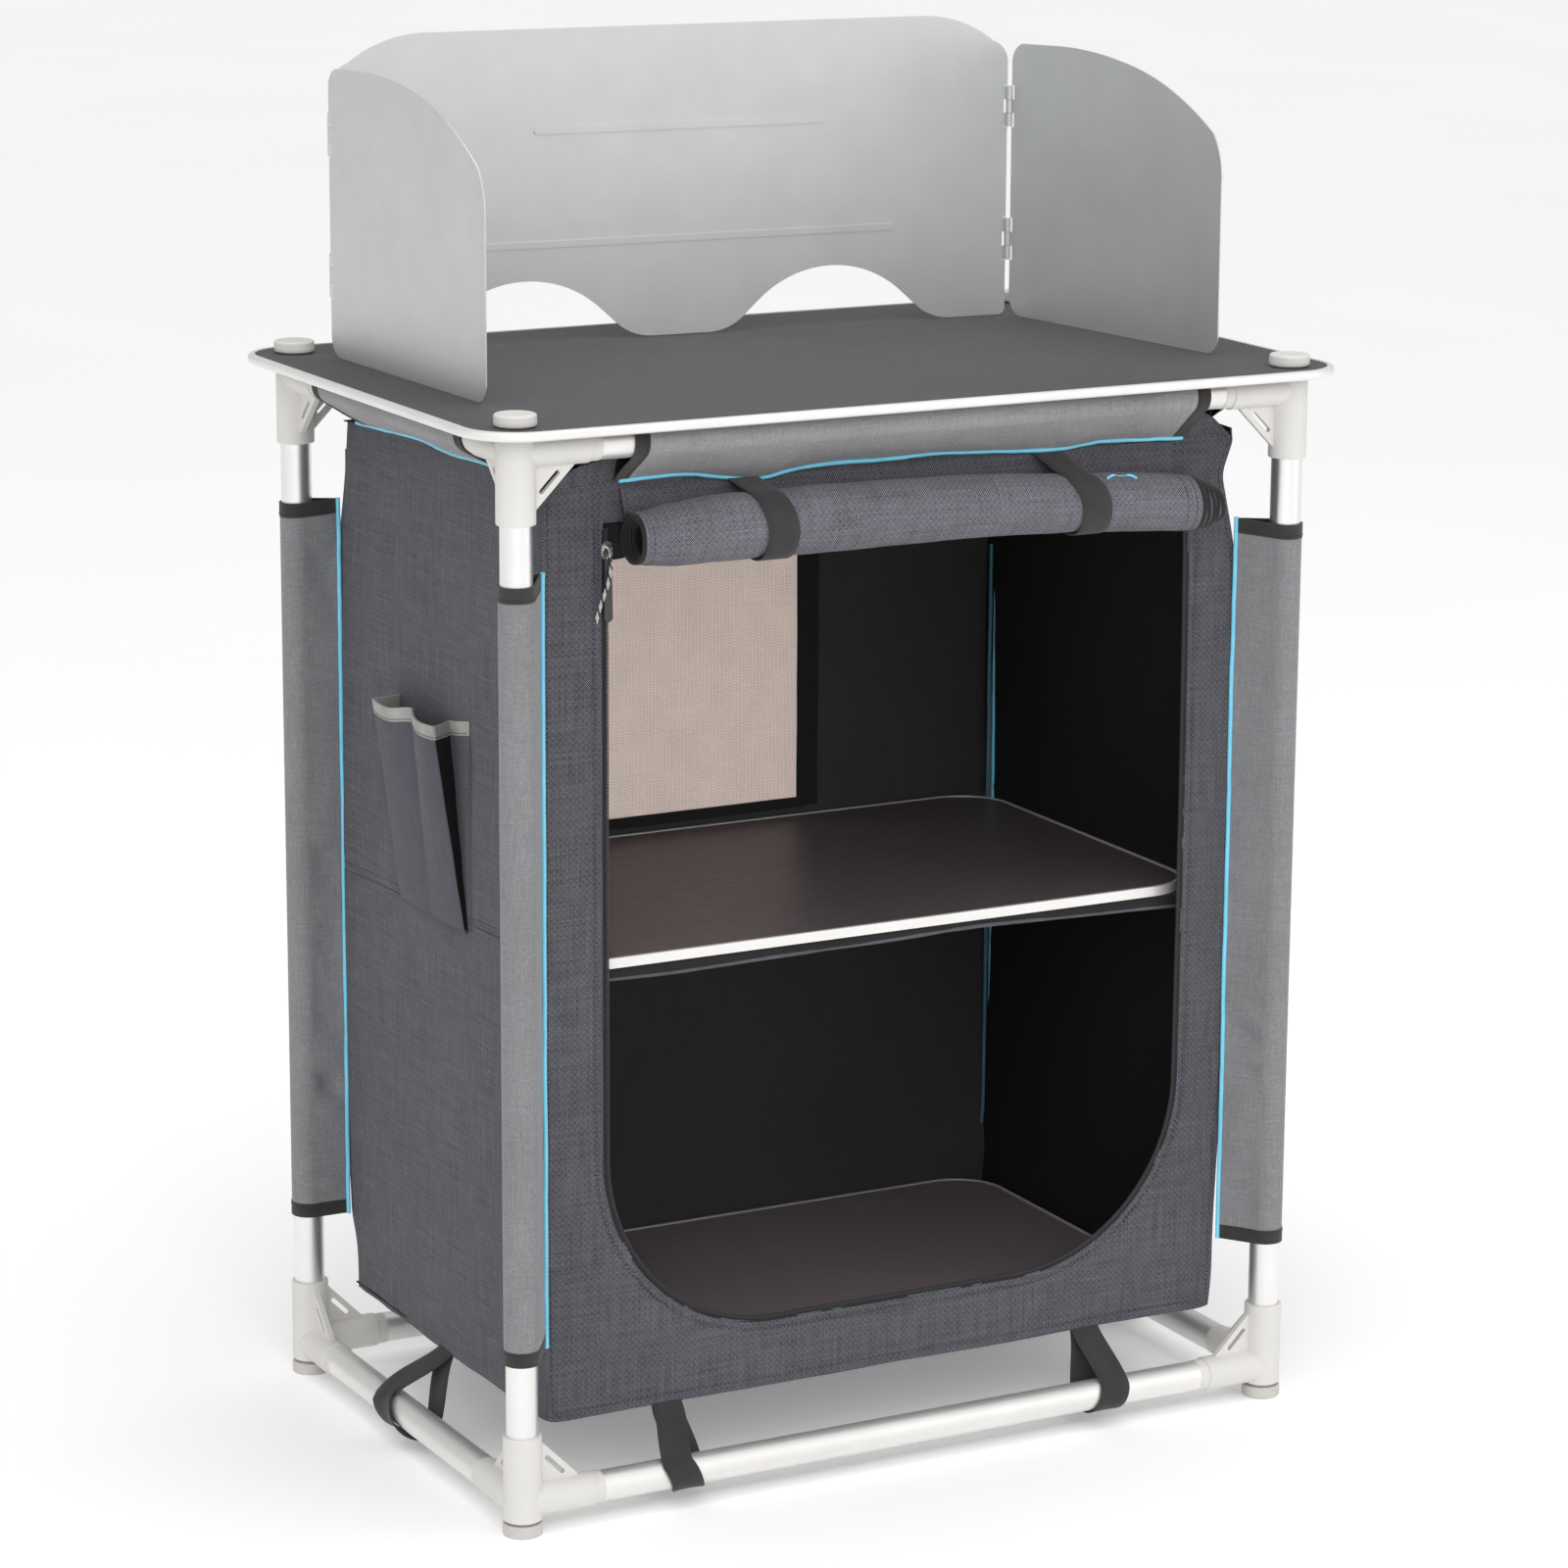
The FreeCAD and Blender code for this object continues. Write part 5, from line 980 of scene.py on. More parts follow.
def rolled_door_lining():
    """The door's coated side, where it leaves the panel behind the roll's left end."""
    u, v = shares(40, 40)
    x = -257.0 + 33.0 * u + 3.0 * NOISE_B.fbm(u * 2, v * 3, 2) * u * (1 - u)
    z = 756.5 + 1.5 * u + (792.0 - 756.5) * v + 1.2 * NOISE_C.fbm(u * 3, 4.0, 2) * (1 - v)
    y = front_y(x, z) + 1.9 + 0.5 * NOISE_A.fbm(x / 9, z / 24, 2)
    cloth = Builder(LINING)
    cloth.shell(join(x, y, z), 0.8, join(x, z), inner=0)
    cloth.build("rolled_door_lining", "cabinet_cloth")


ZIP_TOOTH_PITCH, ZIP_TOOTH_HALF = 1.8, 0.58
# zip tape section: distance out from the opening's edge, shift towards the back
ZIP_TAPE_SECTION = [(1.4, 0.35), (1.4, -0.35), (-2.6, -0.2), (-2.6, 0.55)]
# tooth section: sideways, towards the front
ZIP_TOOTH_SECTION = [(-1.5, -0.5), (-1.5, 0.6), (0.2, 0.95), (1.2, 0.6), (1.2, -0.5),
                     (0.0, -0.9)]


def zip_coil():
    """Tape and teeth along the opening's sides and bottom."""
    edge = OPENING[2:RIGHT_END - 2]
    edge = edge[edge[:, 1] < ZIP_HIGH[2]]
    out = outline_out(edge)

    def line(offset, back):
        x, z = (edge + out * offset).T
        return join(x, front_y(x, z) + back, z)

    zipper = Builder(BLACK_TAPE, COIL)
    rings = np.stack([line(*point) for point in ZIP_TAPE_SECTION], 1)
    zipper.sweep(rings, join(np.array([[0, 0.7, 4.7, 5.4, 6.1]]), lengths(edge)[:, None]))
    middle = resample(line(-3.0, 0.1), ZIP_TOOTH_PITCH)
    along = unit(np.gradient(middle, axis=0))
    side = np.cross(along, -FACING_FRONT)
    teeth = np.stack([
        np.stack([middle + along * end + side * across + FACING_FRONT * forward
                  for across, forward in ZIP_TOOTH_SECTION], 1)
        for end in (-ZIP_TOOTH_HALF, ZIP_TOOTH_HALF)], 1)
    k = len(ZIP_TOOTH_SECTION)
    first = zipper.add(teeth) + np.arange(len(middle))[:, None, None] * 2 * k
    sides = np.array([(j, (j + 1) % k, k + (j + 1) % k, k + j) for j in range(k)])
    ends = np.array([[5, 4, 1, 0], [4, 3, 2, 1], [k, k + 1, k + 4, k + 5],
                     [k + 1, k + 2, k + 3, k + 4]])
    for quads in (sides, ends):
        zipper.put((quads + first).reshape(-1, 4), 1)
    zipper.build("zip_coil_and_tape", "zip_coil", "zip_tape", sharp=30)


front_panel()
for flap in FLAPS:
    corner_flap(*flap)
rolled_door_lining()
zip_coil()

# -------------------------------------------------- rear wall and its window
WINDOW_LOW, WINDOW_HIGH = box_mm("rear_mesh_window")
WINDOW_LEFT, WINDOW_RIGHT = WINDOW_LOW[0] + 4, WINDOW_HIGH[0] - 0.5
WINDOW_BOTTOM, WINDOW_TOP = WINDOW_LOW[2] + 6, WINDOW_HIGH[2] - 6
MESH_PITCH = 1.3


def rectangle(left, right, bottom, top):
    """Rectangle (x, z) from its bottom left corner, along the bottom first."""
    across, up = (np.linspace(0, 1, steps, endpoint=False) for steps in (60, 80))
    return np.concatenate([join(left + (right - left) * across, bottom),
                           join(right, bottom + (top - bottom) * up),
                           join(right - (right - left) * across, top),
                           join(left, top - (top - bottom) * up)])


def rear_wall_at(x, z):
    return wall("rear", np.clip((RIGHT - x) / WIDTH, 0, 1), z, amp=0.8)


def rear_inside(x, z):
    """Depth of the rear wall's inner face."""
    return rear_wall_at(x, z)[1] - CLOTH_THICK - 0.25


def rear_wall():
    """A ring of cloth round the window."""
    window = rectangle(WINDOW_LEFT, WINDOW_RIGHT, WINDOW_BOTTOM, WINDOW_TOP)
    outside = rectangle(LEFT, RIGHT, BOTTOM, TOP)
    share = np.concatenate([np.linspace(0, 0.1, 5, endpoint=False), np.linspace(0.1, 1, 30)])
    ring = window[:, None] * (1 - share[:, None]) + outside[:, None] * share[:, None]
    x, z = ring[..., 0], ring[..., 1]
    wall_x, y = rear_wall_at(x, z)
    at_side = np.abs(2 * (RIGHT - x) / WIDTH - 1) ** 6
    x = x * (1 - at_side) + wall_x * at_side
    coords = join(x, z)
    # the inner face takes the brightened copy of the lining: painted light
    cloth = Builder(CLOTH, REAR_LINING_PAINTED_LIGHT, BLACK_TAPE, DARK_THREAD)
    cloth.shell(join(x, y - CLOTH_THICK / 2, z), CLOTH_THICK,
                np.concatenate([coords, coords[:1]]), rim=2, closed=True)
    z = np.linspace(WINDOW_BOTTOM - 2, WINDOW_TOP + 2, 200)
    for offset in (3.0, 9.0, 17.0):
        x = WINDOW_RIGHT + offset
        cloth.sew(join(x, rear_inside(x, z) - 0.95, z), FACING_FRONT)
    cloth.build("rear_wall_cloth", "cabinet_cloth", "cabinet_rear_wall")


def window_binding():
    tape = Builder(BLACK_TAPE)
    z = np.linspace(WINDOW_BOTTOM - 6, WINDOW_TOP + 6, 60)
    for x, width in ((WINDOW_LEFT - 3, 9), (WINDOW_RIGHT + 4.5, 11), (WINDOW_RIGHT + 15, 9)):
        y = rear_inside(x, z) - 0.75 - 0.2 * np.abs(NOISE_A(z / 30, 2.0))
        tape.band(join(x + 0.4 * NOISE_A(z / 40, x), y, z), (1, 0, 0), width, thick=0.9)
    x = np.linspace(WINDOW_LEFT - 6, WINDOW_RIGHT + 6, 50)
    for z in (WINDOW_BOTTOM - 3, WINDOW_TOP + 3):
        tape.band(join(x, rear_inside(x, z) - 1.75, z), (0, 0, 1), width=9, thick=0.8)
    tape.build("window_binding", "webbing")


def mesh_y(x, z):
    """Depth of the mesh, which billows in the middle of the window."""
    across = np.clip((x - WINDOW_LEFT) / (WINDOW_RIGHT - WINDOW_LEFT), 0, 1)
    up = np.clip((z - WINDOW_BOTTOM) / (WINDOW_TOP - WINDOW_BOTTOM), 0, 1)
    return (rear_inside(x, z) - 0.15
            + 0.9 * NOISE_B.fbm(x / 70, z / 90, 2) * np.sin(PI * across) * np.sin(PI * up))


def mesh_threads(mesh, places, run, vertical):
    """Parallel threads of lozenge section at the given places."""
    places, run = np.broadcast_arrays(places[:, None], run[None])
    placed = places + 0.10 * NOISE_D(run / 17, places * 1.31)
    x, z = (placed, run) if vertical else (run, placed)
    middle = join(x, mesh_y(x, z) + (0.16 if vertical else -0.16), z)
    wide = np.array([0.44, 0, 0] if vertical else [0, 0, 0.44])
    deep = np.array([0, 0.2, 0])
    first = mesh.add(np.stack([middle - wide, middle - deep, middle + wide, middle + deep], 2))
    ids = first + np.arange(run.size * 4).reshape(*run.shape, 4)
    a, b = ids[:, :-1], ids[:, 1:]
    quads = join(a, np.roll(a, -1, 2), np.roll(b, -1, 2), b).reshape(-1, 4)
    caps = np.concatenate([ids[:, 0, ::-1], ids[:, -1]])
    if vertical:
        quads = quads[:, ::-1]
        caps = np.concatenate([ids[:, 0], ids[:, -1, ::-1]])
    mesh.put(quads, 0)
    mesh.put(caps, 0)


def insect_mesh():
    mesh = Builder(MESH_THREAD)
    left, right, bottom, top = (WINDOW_LEFT - 1, WINDOW_RIGHT + 1, WINDOW_BOTTOM - 1,
                                WINDOW_TOP + 1)
    mesh_threads(mesh, np.arange(left, right, MESH_PITCH), np.linspace(bottom, top, 30), True)
    mesh_threads(mesh, np.arange(bottom, top, MESH_PITCH), np.linspace(left, right, 22), False)
    mesh.build("insect_mesh", "mesh", "rear_mesh_window")


rear_wall()
window_binding()
insect_mesh()

# -------------------------------------------------- floor, roof and shelf sling
SLING_RADIUS = 3.8
# bottom edge of the sling's front drop: (x, z)
SLING_HEM = [(-298, 425.5), (-200, 423.2), (-93, 424.7), (0, 425.4), (86, 427.2), (170, 424.8),
             (263, 422.5), (298, 421.5)]


def flat_cloth(name, node, upper, lower, seed, amp, stitch_insets):
    """Level sheet; stitch_insets are distances from the front (+) or back (-) edge."""
    low, high = box_mm(node)
    inset = 0.5
    u, v = shares(90, 60)
    x = low[0] + inset + (high[0] - low[0] - 2 * inset) * u
    y = low[1] + inset + (high[1] - low[1] - 2 * inset) * v
    level = (low[2] + high[2]) / 2
    z = (level - np.abs(NOISE_A.fbm(x / 70 + seed, y / 70)) * amp
         - amp * 0.4 * np.sin(PI * u) * np.sin(PI * v))
    cloth = Builder(upper, lower, DARK_THREAD)
    cloth.shell(join(x, y, z), 1.0, join(x, y))
    x = np.linspace(low[0] + 6.0, high[0] - 6.0, 150)
    for stitch_inset in stitch_insets:
        y = (low if stitch_inset > 0 else high)[1] + stitch_inset
        cloth.sew(join(x, y, level + 0.7), (0, 0, 1))
    cloth.build(name, "lining_cloth", node)


def shelf_sling():
    """Sheet along the shelf, round a small bend at the front and down to a corded hem."""
    low, high = box_mm("shelf_sling")
    x = np.linspace(low[0] + 0.6, high[0] - 0.6, 130)[:, None]
    t = np.linspace(0, 1, 90)[None, :]
    level, back, bend = high[2] - 0.9, high[1] - 0.6, low[1] + 5.0
    # shares of the columns: level part, then bend, then drop
    level_end, bend_share = 0.72, 0.07
    angle = np.clip((t - level_end) / bend_share, 0, 1) * PI / 2
    drop_start = level_end + bend_share
    drop = np.clip((t - drop_start) / (1 - drop_start), 0, 1)
    is_level = t < level_end
    y = np.where(is_level, back + (bend - back) * t / level_end,
                 bend - SLING_RADIUS * np.sin(angle))
    z = np.where(is_level, level - 1.0 * np.abs(NOISE_B.fbm(x / 60, y / 50, 2)),
                 level - SLING_RADIUS * (1 - np.cos(angle)))
    z = z - drop * (level - SLING_RADIUS - curve(x, SLING_HEM))
    y = y + drop * (1.2 * NOISE_C.fbm(x / 26, t * 4, 2))
    surface = join(x, y, z)
    steps = np.linalg.norm(np.diff(surface, axis=1), axis=2)
    along = np.concatenate([np.zeros((len(x), 1)), np.cumsum(steps, 1)], 1)
    cloth = Builder(BLACK_TAPE, LINING, DARK_THREAD, HEM_TAPE)
    cloth.shell(surface, 1.0, join(x, along), outer=1, inner=0)
    cloth.tube(surface[:, -1] - (0, 0, 0.2), radius=1.5, number=3, sides=8)
    cloth.sew(surface[3:-3, -8] - (0, 0.7, 0), FACING_FRONT)
    cloth.build("shelf_sling_cloth", "lining_cloth", "shelf_sling")


flat_cloth("floor_cloth", "cabinet_floor", LINING, CLOTH, seed=2, amp=1.2, stitch_insets=[1.6])
flat_cloth("roof_cloth", "cabinet_roof", CLOTH, LINING, seed=4, amp=1.6,
           stitch_insets=[6.0, -6.0])
shelf_sling()

# -------------------------------------------------- rolled door and its straps
# the roll: x, height of its axis, radius
ROLL = [
    (-246, 776.4, 20.4), (-231, 776.3, 21.9), (-216, 777.8, 24.3), (-200, 778.6, 25.4),
    (-172, 779.8, 26.4), (-131, 780.0, 26.6), (-92, 780.0, 26.6), (-5, 779.6, 25.9),
    (84, 777.0, 24.7), (146, 773.4, 24.0), (193, 770.2, 23.6), (239, 766.2, 23.4),
    (260, 764.2, 22.8), (277, 762.8, 22.2)]
ROLL_GAP = 3.6
ROLL_START, ROLL_TURNS, ROLL_PITCH = -0.9, 4.7, 1.85
ROLL_STEPS, ROLL_COLUMNS = 300, 170
STRAP_WIDTH, STRAP_THICK = 26.0, 1.15
STRAP_TOP = 812.5
# strap x, and how far it drifts sideways with height: (z, shift)
DOOR_STRAPS = [
    (-131.0, [(740, 0.2), (765, 0.2), (785, -0.6), (800, -4.8), (815, -9.6)]),
    (146.0, [(740, 6.5), (765, 4.5), (785, 2.0), (800, -7.0), (815, -17.5)])]


def roll_at(x):
    """Axis (y, z) and radius of the roll at x; the straps press into it."""
    full = curve(x, [(at, radius) for at, _, radius in ROLL])
    radius = full
    for strap_x, _ in DOOR_STRAPS:
        radius = radius - 0.9 * bell(x - strap_x, 15.0)
    return FRONT - ROLL_GAP - full, curve(x, [(at, z) for at, z, _ in ROLL]), radius


def rolled_door():
    angle = np.linspace(ROLL_START, ROLL_START + ROLL_TURNS * 2 * PI, ROLL_STEPS)[:, None]
    lap = (angle - ROLL_START) / (2 * PI)
    left = -245.0 + 2.2 * lap + 0.5 * NOISE_A(angle * 1.3, 2.0)
    right = 251.0 + 5.6 * lap + 0.5 * NOISE_A(angle * 1.3, 9.0)

    def spiral(x, crease=0.0):
        y, z, radius = roll_at(x)
        soft = (NOISE_B.fbm(x / 48, angle * 0.9 + 2) * 0.75
                + NOISE_C.fbm(x / 15, angle * 1.7, 2) * 0.22)
        radius = (radius - 0.5 - ROLL_PITCH * lap + (soft - crease) * np.clip(1.4 - lap, 0.25, 1)
                  - 0.5 * np.exp(-np.abs(right - x) / 8.0))
        sag = 0.8 * np.clip(lap - 0.4, 0, 1)
        return join(x, y - radius * np.sin(angle), z + radius * np.cos(angle) - sag)

    x = left + (right - left) * np.linspace(0, 1, ROLL_COLUMNS)[None, :]
    creases = (0.9 * bell((x + 172) - 22 * (angle - 1.3), 7.0)
               + 0.6 * bell((x + 205) - 16 * (angle - 1.6), 6.0))
    surface = spiral(x, creases)
    along = 24.0 * (angle - ROLL_START)
    # the roll takes the brightened copy of the cabinet weave: painted light
    cloth = Builder(ROLL_CLOTH_PAINTED_LIGHT, LINING, BLACK_TAPE, DARK_THREAD)
    cloth.shell(surface, 1.05, join(x, along), rim=2)
    for column, inward in ((-1, -0.2), (0, 0.2)):
        path = resample(surface[:, column], step=1.6) + (inward, 0, 0)
        cloth.tube(path, radius=0.95, number=2, sides=8)
    # stitches follow only the outermost lap
    first_lap = int(ROLL_STEPS / ROLL_TURNS * 0.93)
    out = join(0.0, -np.sin(angle[:first_lap, 0]), np.cos(angle[:first_lap, 0]))
    for column in (-7, -4, 3):
        cloth.sew(surface[:first_lap, column] + out * 0.6, out)
    # dark tape bound round the lap ends, where the door's side edge steps out of the roll
    across = np.linspace(0, 1, 5)[None, :]
    for edge, start, end in ((right, -3.3, 0.45), (left, -0.35, 2.6)):
        x = edge + start + (end - start) * across
        cloth.shell(spiral(x), 1.5, join(x, along), outer=2, inner=2)
    cloth.build("rolled_door", "cabinet_cloth", "door_roll")


def door_hanger():
    """Bridge of cloth from the panel's top seam down to the roll."""
    u, v = shares(150, 14)
    x = -243.0 + 491.0 * u
    roll_y, roll_z, radius = roll_at(x)
    top_z = np.minimum(curve(x, TOP_SEAM) - 3.0, 812)
    top_y = front_y(x, top_z) - 1.0
    z = top_z + (roll_z + radius * math.cos(0.75) - 0.3 - top_z) * v
    y = (top_y + (roll_y + radius * math.sin(0.75) + 0.3 - top_y) * v
         + 0.8 * NOISE_C.fbm(x / 24, v * 2, 2) * np.sin(PI * v))
    cloth = Builder(CLOTH, LINING)
    cloth.shell(join(x, np.minimum(y, top_y - 0.2), z), 0.9, join(x, z), outer=1, inner=0)
    cloth.build("rolled_door_hanger", "cabinet_cloth")


def tangent_arc(centre, radius, tip, count, turn=1):
    """Arc round the far side of a circle, between the tangents from the tip."""
    x, y = np.subtract(tip, centre)
    base, half = math.atan2(y, x), math.acos(min(0.999, radius / math.hypot(x, y)))
    angle = np.linspace(base + turn * half, base + turn * (2 * PI - half), count)
    return centre + radius * join(np.cos(angle), np.sin(angle))


def loop_path(arc, start, end, steps):
    """Straight from start to the arc, round it, and straight to end."""
    run = np.linspace(0, 1, steps, endpoint=False)[:, None]
    return np.concatenate([start + (arc[0] - start) * run, arc,
                           (end + (arc[-1] - end) * run)[::-1]])


def door_straps():
    straps = Builder(WEBBING, DARK_THREAD)
    for strap_x, drift in DOOR_STRAPS:
        y, z, radius = roll_at(np.array(strap_x))
        tip = np.array([FRONT - 1.4, STRAP_TOP])
        arc = tangent_arc((float(y), float(z)), float(radius) + 1.25, tip, 70)
        loop = loop_path(arc, tip, tip, max(4, int(np.linalg.norm(arc[0] - tip) / 2.5)))
        half = len(loop) // 2
        shift = curve(loop[:, 1], drift)
        shift[half:] = shift[half] * (1 - np.linspace(0, 1, len(loop) - half))
        shift = np.convolve(np.pad(shift, 6, mode="edge"), np.ones(13) / 13, "valid")
        path = join(strap_x + shift, loop[:, 0], loop[:, 1])
        path[-6:, 1] = np.minimum(path[-6:, 1], FRONT - 0.9)
        straps.band(path[:-3], (1, 0, 0), STRAP_WIDTH, STRAP_THICK)
        x = strap_x + shift[2] + np.linspace(-11, 11, 20)
        straps.sew(join(x, path[3, 1] - 1.0, path[3, 2] - 0.8), (0, -0.8, 0.6))
    straps.build("door_strap_webbing", "webbing", "door_straps")


def cord_end():
    """A short end of blue cord on top of the roll, thinner in its middle."""
    x = np.linspace(166, 193.5, 36)
    y, z, radius = roll_at(x)
    rise = curve(x, [(166, -0.7), (169, 1.2), (173, 1.6), (178, 0.1), (183, 0.3), (188, 1.3),
                     (193.5, -0.6)])
    angle = 0.42 + 0.05 * np.sin(x / 5)
    out = radius + 0.7 + rise
    cord = Builder(CORD)
    cord.tube(join(x, y - out * np.sin(angle), z + out * np.cos(angle)),
              np.where((x > 173) & (x < 185), 0.45, 1.05), sides=8)
    cord.build("cord_end_on_door", "piping")


rolled_door()
door_hanger()
door_straps()
cord_end()

# ------------------------------------------------------------- frame sleeves
SLEEVE_THICK = 0.85
SECTION_ARC, SECTION_FLAT = 46, 16
RAIL_SLEEVE_RADIUS, LEG_SLEEVE_RADIUS = 13.45, 13.5
TABLE_UNDERSIDE = box_mm("tabletop_board")[0][2]
RAIL_CUFF, LEG_CUFF = 11.0, 12.5
LEFT_SLEEVE_SEAM = [(-141, 821.0), (-90.5, 821.3), (-24, 819.6), (32, 822.2), (88, 820.1),
                    (141, 817.8)]


def rear_seam(x):
    return 818 + 1.4 * NOISE_B.fbm(x / 50, 4.0)


# rail: start, end, stations, plan position of the seam, and the seam's height
RAIL_SLEEVES = {
    "front": (-248.6, 259.0, 210, FRONT - 2.4, lambda at: curve(at, TOP_SEAM) + 0.9),
    "rear": (-250.0, 250.0, 210, BACK + 2.6, rear_seam),
    "left": (-141.0, 141.0, 120, LEFT - 2.6, lambda at: curve(at, LEFT_SLEEVE_SEAM) + 0.6),
    "right": (-141.0, 141.0, 120, RIGHT + 2.6,
              lambda at: 819 + 1.2 * NOISE_B.fbm(at / 50, 8.0)),
}
# leg: plan position of the seam, and strength of the dents
LEG_SLEEVES = {
    "front_left": ((LEFT - 3.2, FRONT - 3.2), 0.6),
    "front_right": ((RIGHT + 3.2, FRONT - 3.2), 1.35),
    "rear_right": ((RIGHT + 3.0, BACK + 0.6), 1.3),
    "rear_left": ((LEFT - 3.0, BACK + 0.6), 1.7),
}


def teardrops(centre, radius, tips):
    """Sections round a tube that close at a seam: (section points, stations, 2)."""
    sections = []
    for tip in tips:
        x, y = tip - centre
        gap = np.array([-y, x]) / math.hypot(x, y) * 0.35
        arc = tangent_arc(centre, radius, tip, SECTION_ARC)
        sections.append(loop_path(arc, tip + gap, tip - gap, SECTION_FLAT))
    return np.stack(sections, 1)


def section_normals(section):
    step = np.gradient(section, axis=0)
    normal = unit(join(step[..., 1], -step[..., 0]))
    outward = (normal * (section - section.mean(0, keepdims=True))).sum()
    return -normal if outward < 0 else normal


def looseness():
    """Zero where the section hugs the tube, rising on its straight parts."""
    flat = np.sin(PI * np.linspace(0, 1, SECTION_FLAT, endpoint=False)) ** 0.8
    return np.concatenate([flat, np.zeros(SECTION_ARC), flat[::-1]])[:, None]


def cuff_parts(stations, width):
    """For the start and end cuff: slice of stations, direction outwards, stitched station."""
    count = len(stations)
    step = (stations[-1] - stations[0]) / (count - 1)
    wide = int(round(width / step)) + 1
    return (slice(0, wide), -1, wide - 2), (slice(count - wide, count), 1, 1)


def rail_sleeve(cloth, side, seed):
    start, end, count, seam_at, seam_height = RAIL_SLEEVES[side]
    low, high = box_mm("top_rail_" + side)
    middle = (low + high) / 2
    along_x = side in ("front", "rear")
    at = np.linspace(start, end, count)
    section = teardrops(np.array([middle[1 if along_x else 0], middle[2]]), RAIL_SLEEVE_RADIUS,
                        join(seam_at, seam_height(at)))
    normal = section_normals(section)
    loose = looseness()
    around = np.linspace(0, 1, len(section))[:, None]
    wrinkles = (NOISE_A.fbm(at / 46 + seed * 4, around * 5) * 1.5
                + NOISE_C.fbm(at / 14 + seed, around * 9, 2) * 0.55)
    crease = 0.9 * bell((at - start - 22) - 34 * (around - 0.3), 5.0)
    fine = 0.15 * NOISE_D.fbm(at / 22, around * 16, 2)
    section = section + normal * ((wrinkles - crease) * loose + fine)[..., None]

    def place(along, flat):
        if along_x:
            return join(along, flat[..., 0], flat[..., 1])
        return join(flat[..., 0], along, flat[..., 1])

    surface, normal = place(at, section), place(0.0, normal)
    surface[..., 2] = np.minimum(surface[..., 2], TABLE_UNDERSIDE - 0.75)
    coords = join(at, lengths(surface[:, count // 2])[:, None])
    cloth.loop_shell(surface, SLEEVE_THICK, coords)
    for part, outward, stitched in cuff_parts(at, RAIL_CUFF):
        cuff = surface[:, part] + normal[:, part] * 0.12
        cuff[..., 0 if along_x else 1] += outward * 0.5
        cuff[..., 2] = np.minimum(cuff[..., 2], TABLE_UNDERSIDE - 0.78)
        cloth.loop_shell(cuff, 1.0, coords[:, part], outer=2, inner=2)
        # stitches stop on both sides of the part pressed against the tabletop
        row_normal = normal[2:-2, stitched]
        row = cuff[2:-2, stitched] + row_normal * 0.6
        free = row[:, 2] < TABLE_UNDERSIDE - 2.5
        stop, restart = len(row), 0
        if not free.all():
            stop, restart = int(np.argmin(free)), len(row) - int(np.argmin(free[::-1]))
        for run in (slice(0, stop), slice(restart, len(row))):
            if len(row[run]) > 5:
                cloth.sew(row[run], row_normal[run], pitch=3.4)


def leg_sleeve_span(name):
    """Lowest and highest z of the CAD sleeve at one leg, drawn in a little."""
    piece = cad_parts["leg_sleeves"]
    points = np.empty(len(piece.data.vertices) * 3)
    piece.data.vertices.foreach_get("co", points)
    matrix = np.array(piece.matrix_world)
    points = (points.reshape(-1, 3) @ matrix[:3, :3].T + matrix[:3, 3]) / MM
    side_x, side_y = (-1 if "left" in name else 1), (-1 if "front" in name else 1)
    z = points[(points[:, 0] * side_x > 0) & (points[:, 1] * side_y > 0), 2]
    return float(z.min()) + 0.6, float(z.max()) - 0.5


LEG_SPANS = {name: leg_sleeve_span(name) for name in LEG_SLEEVES}


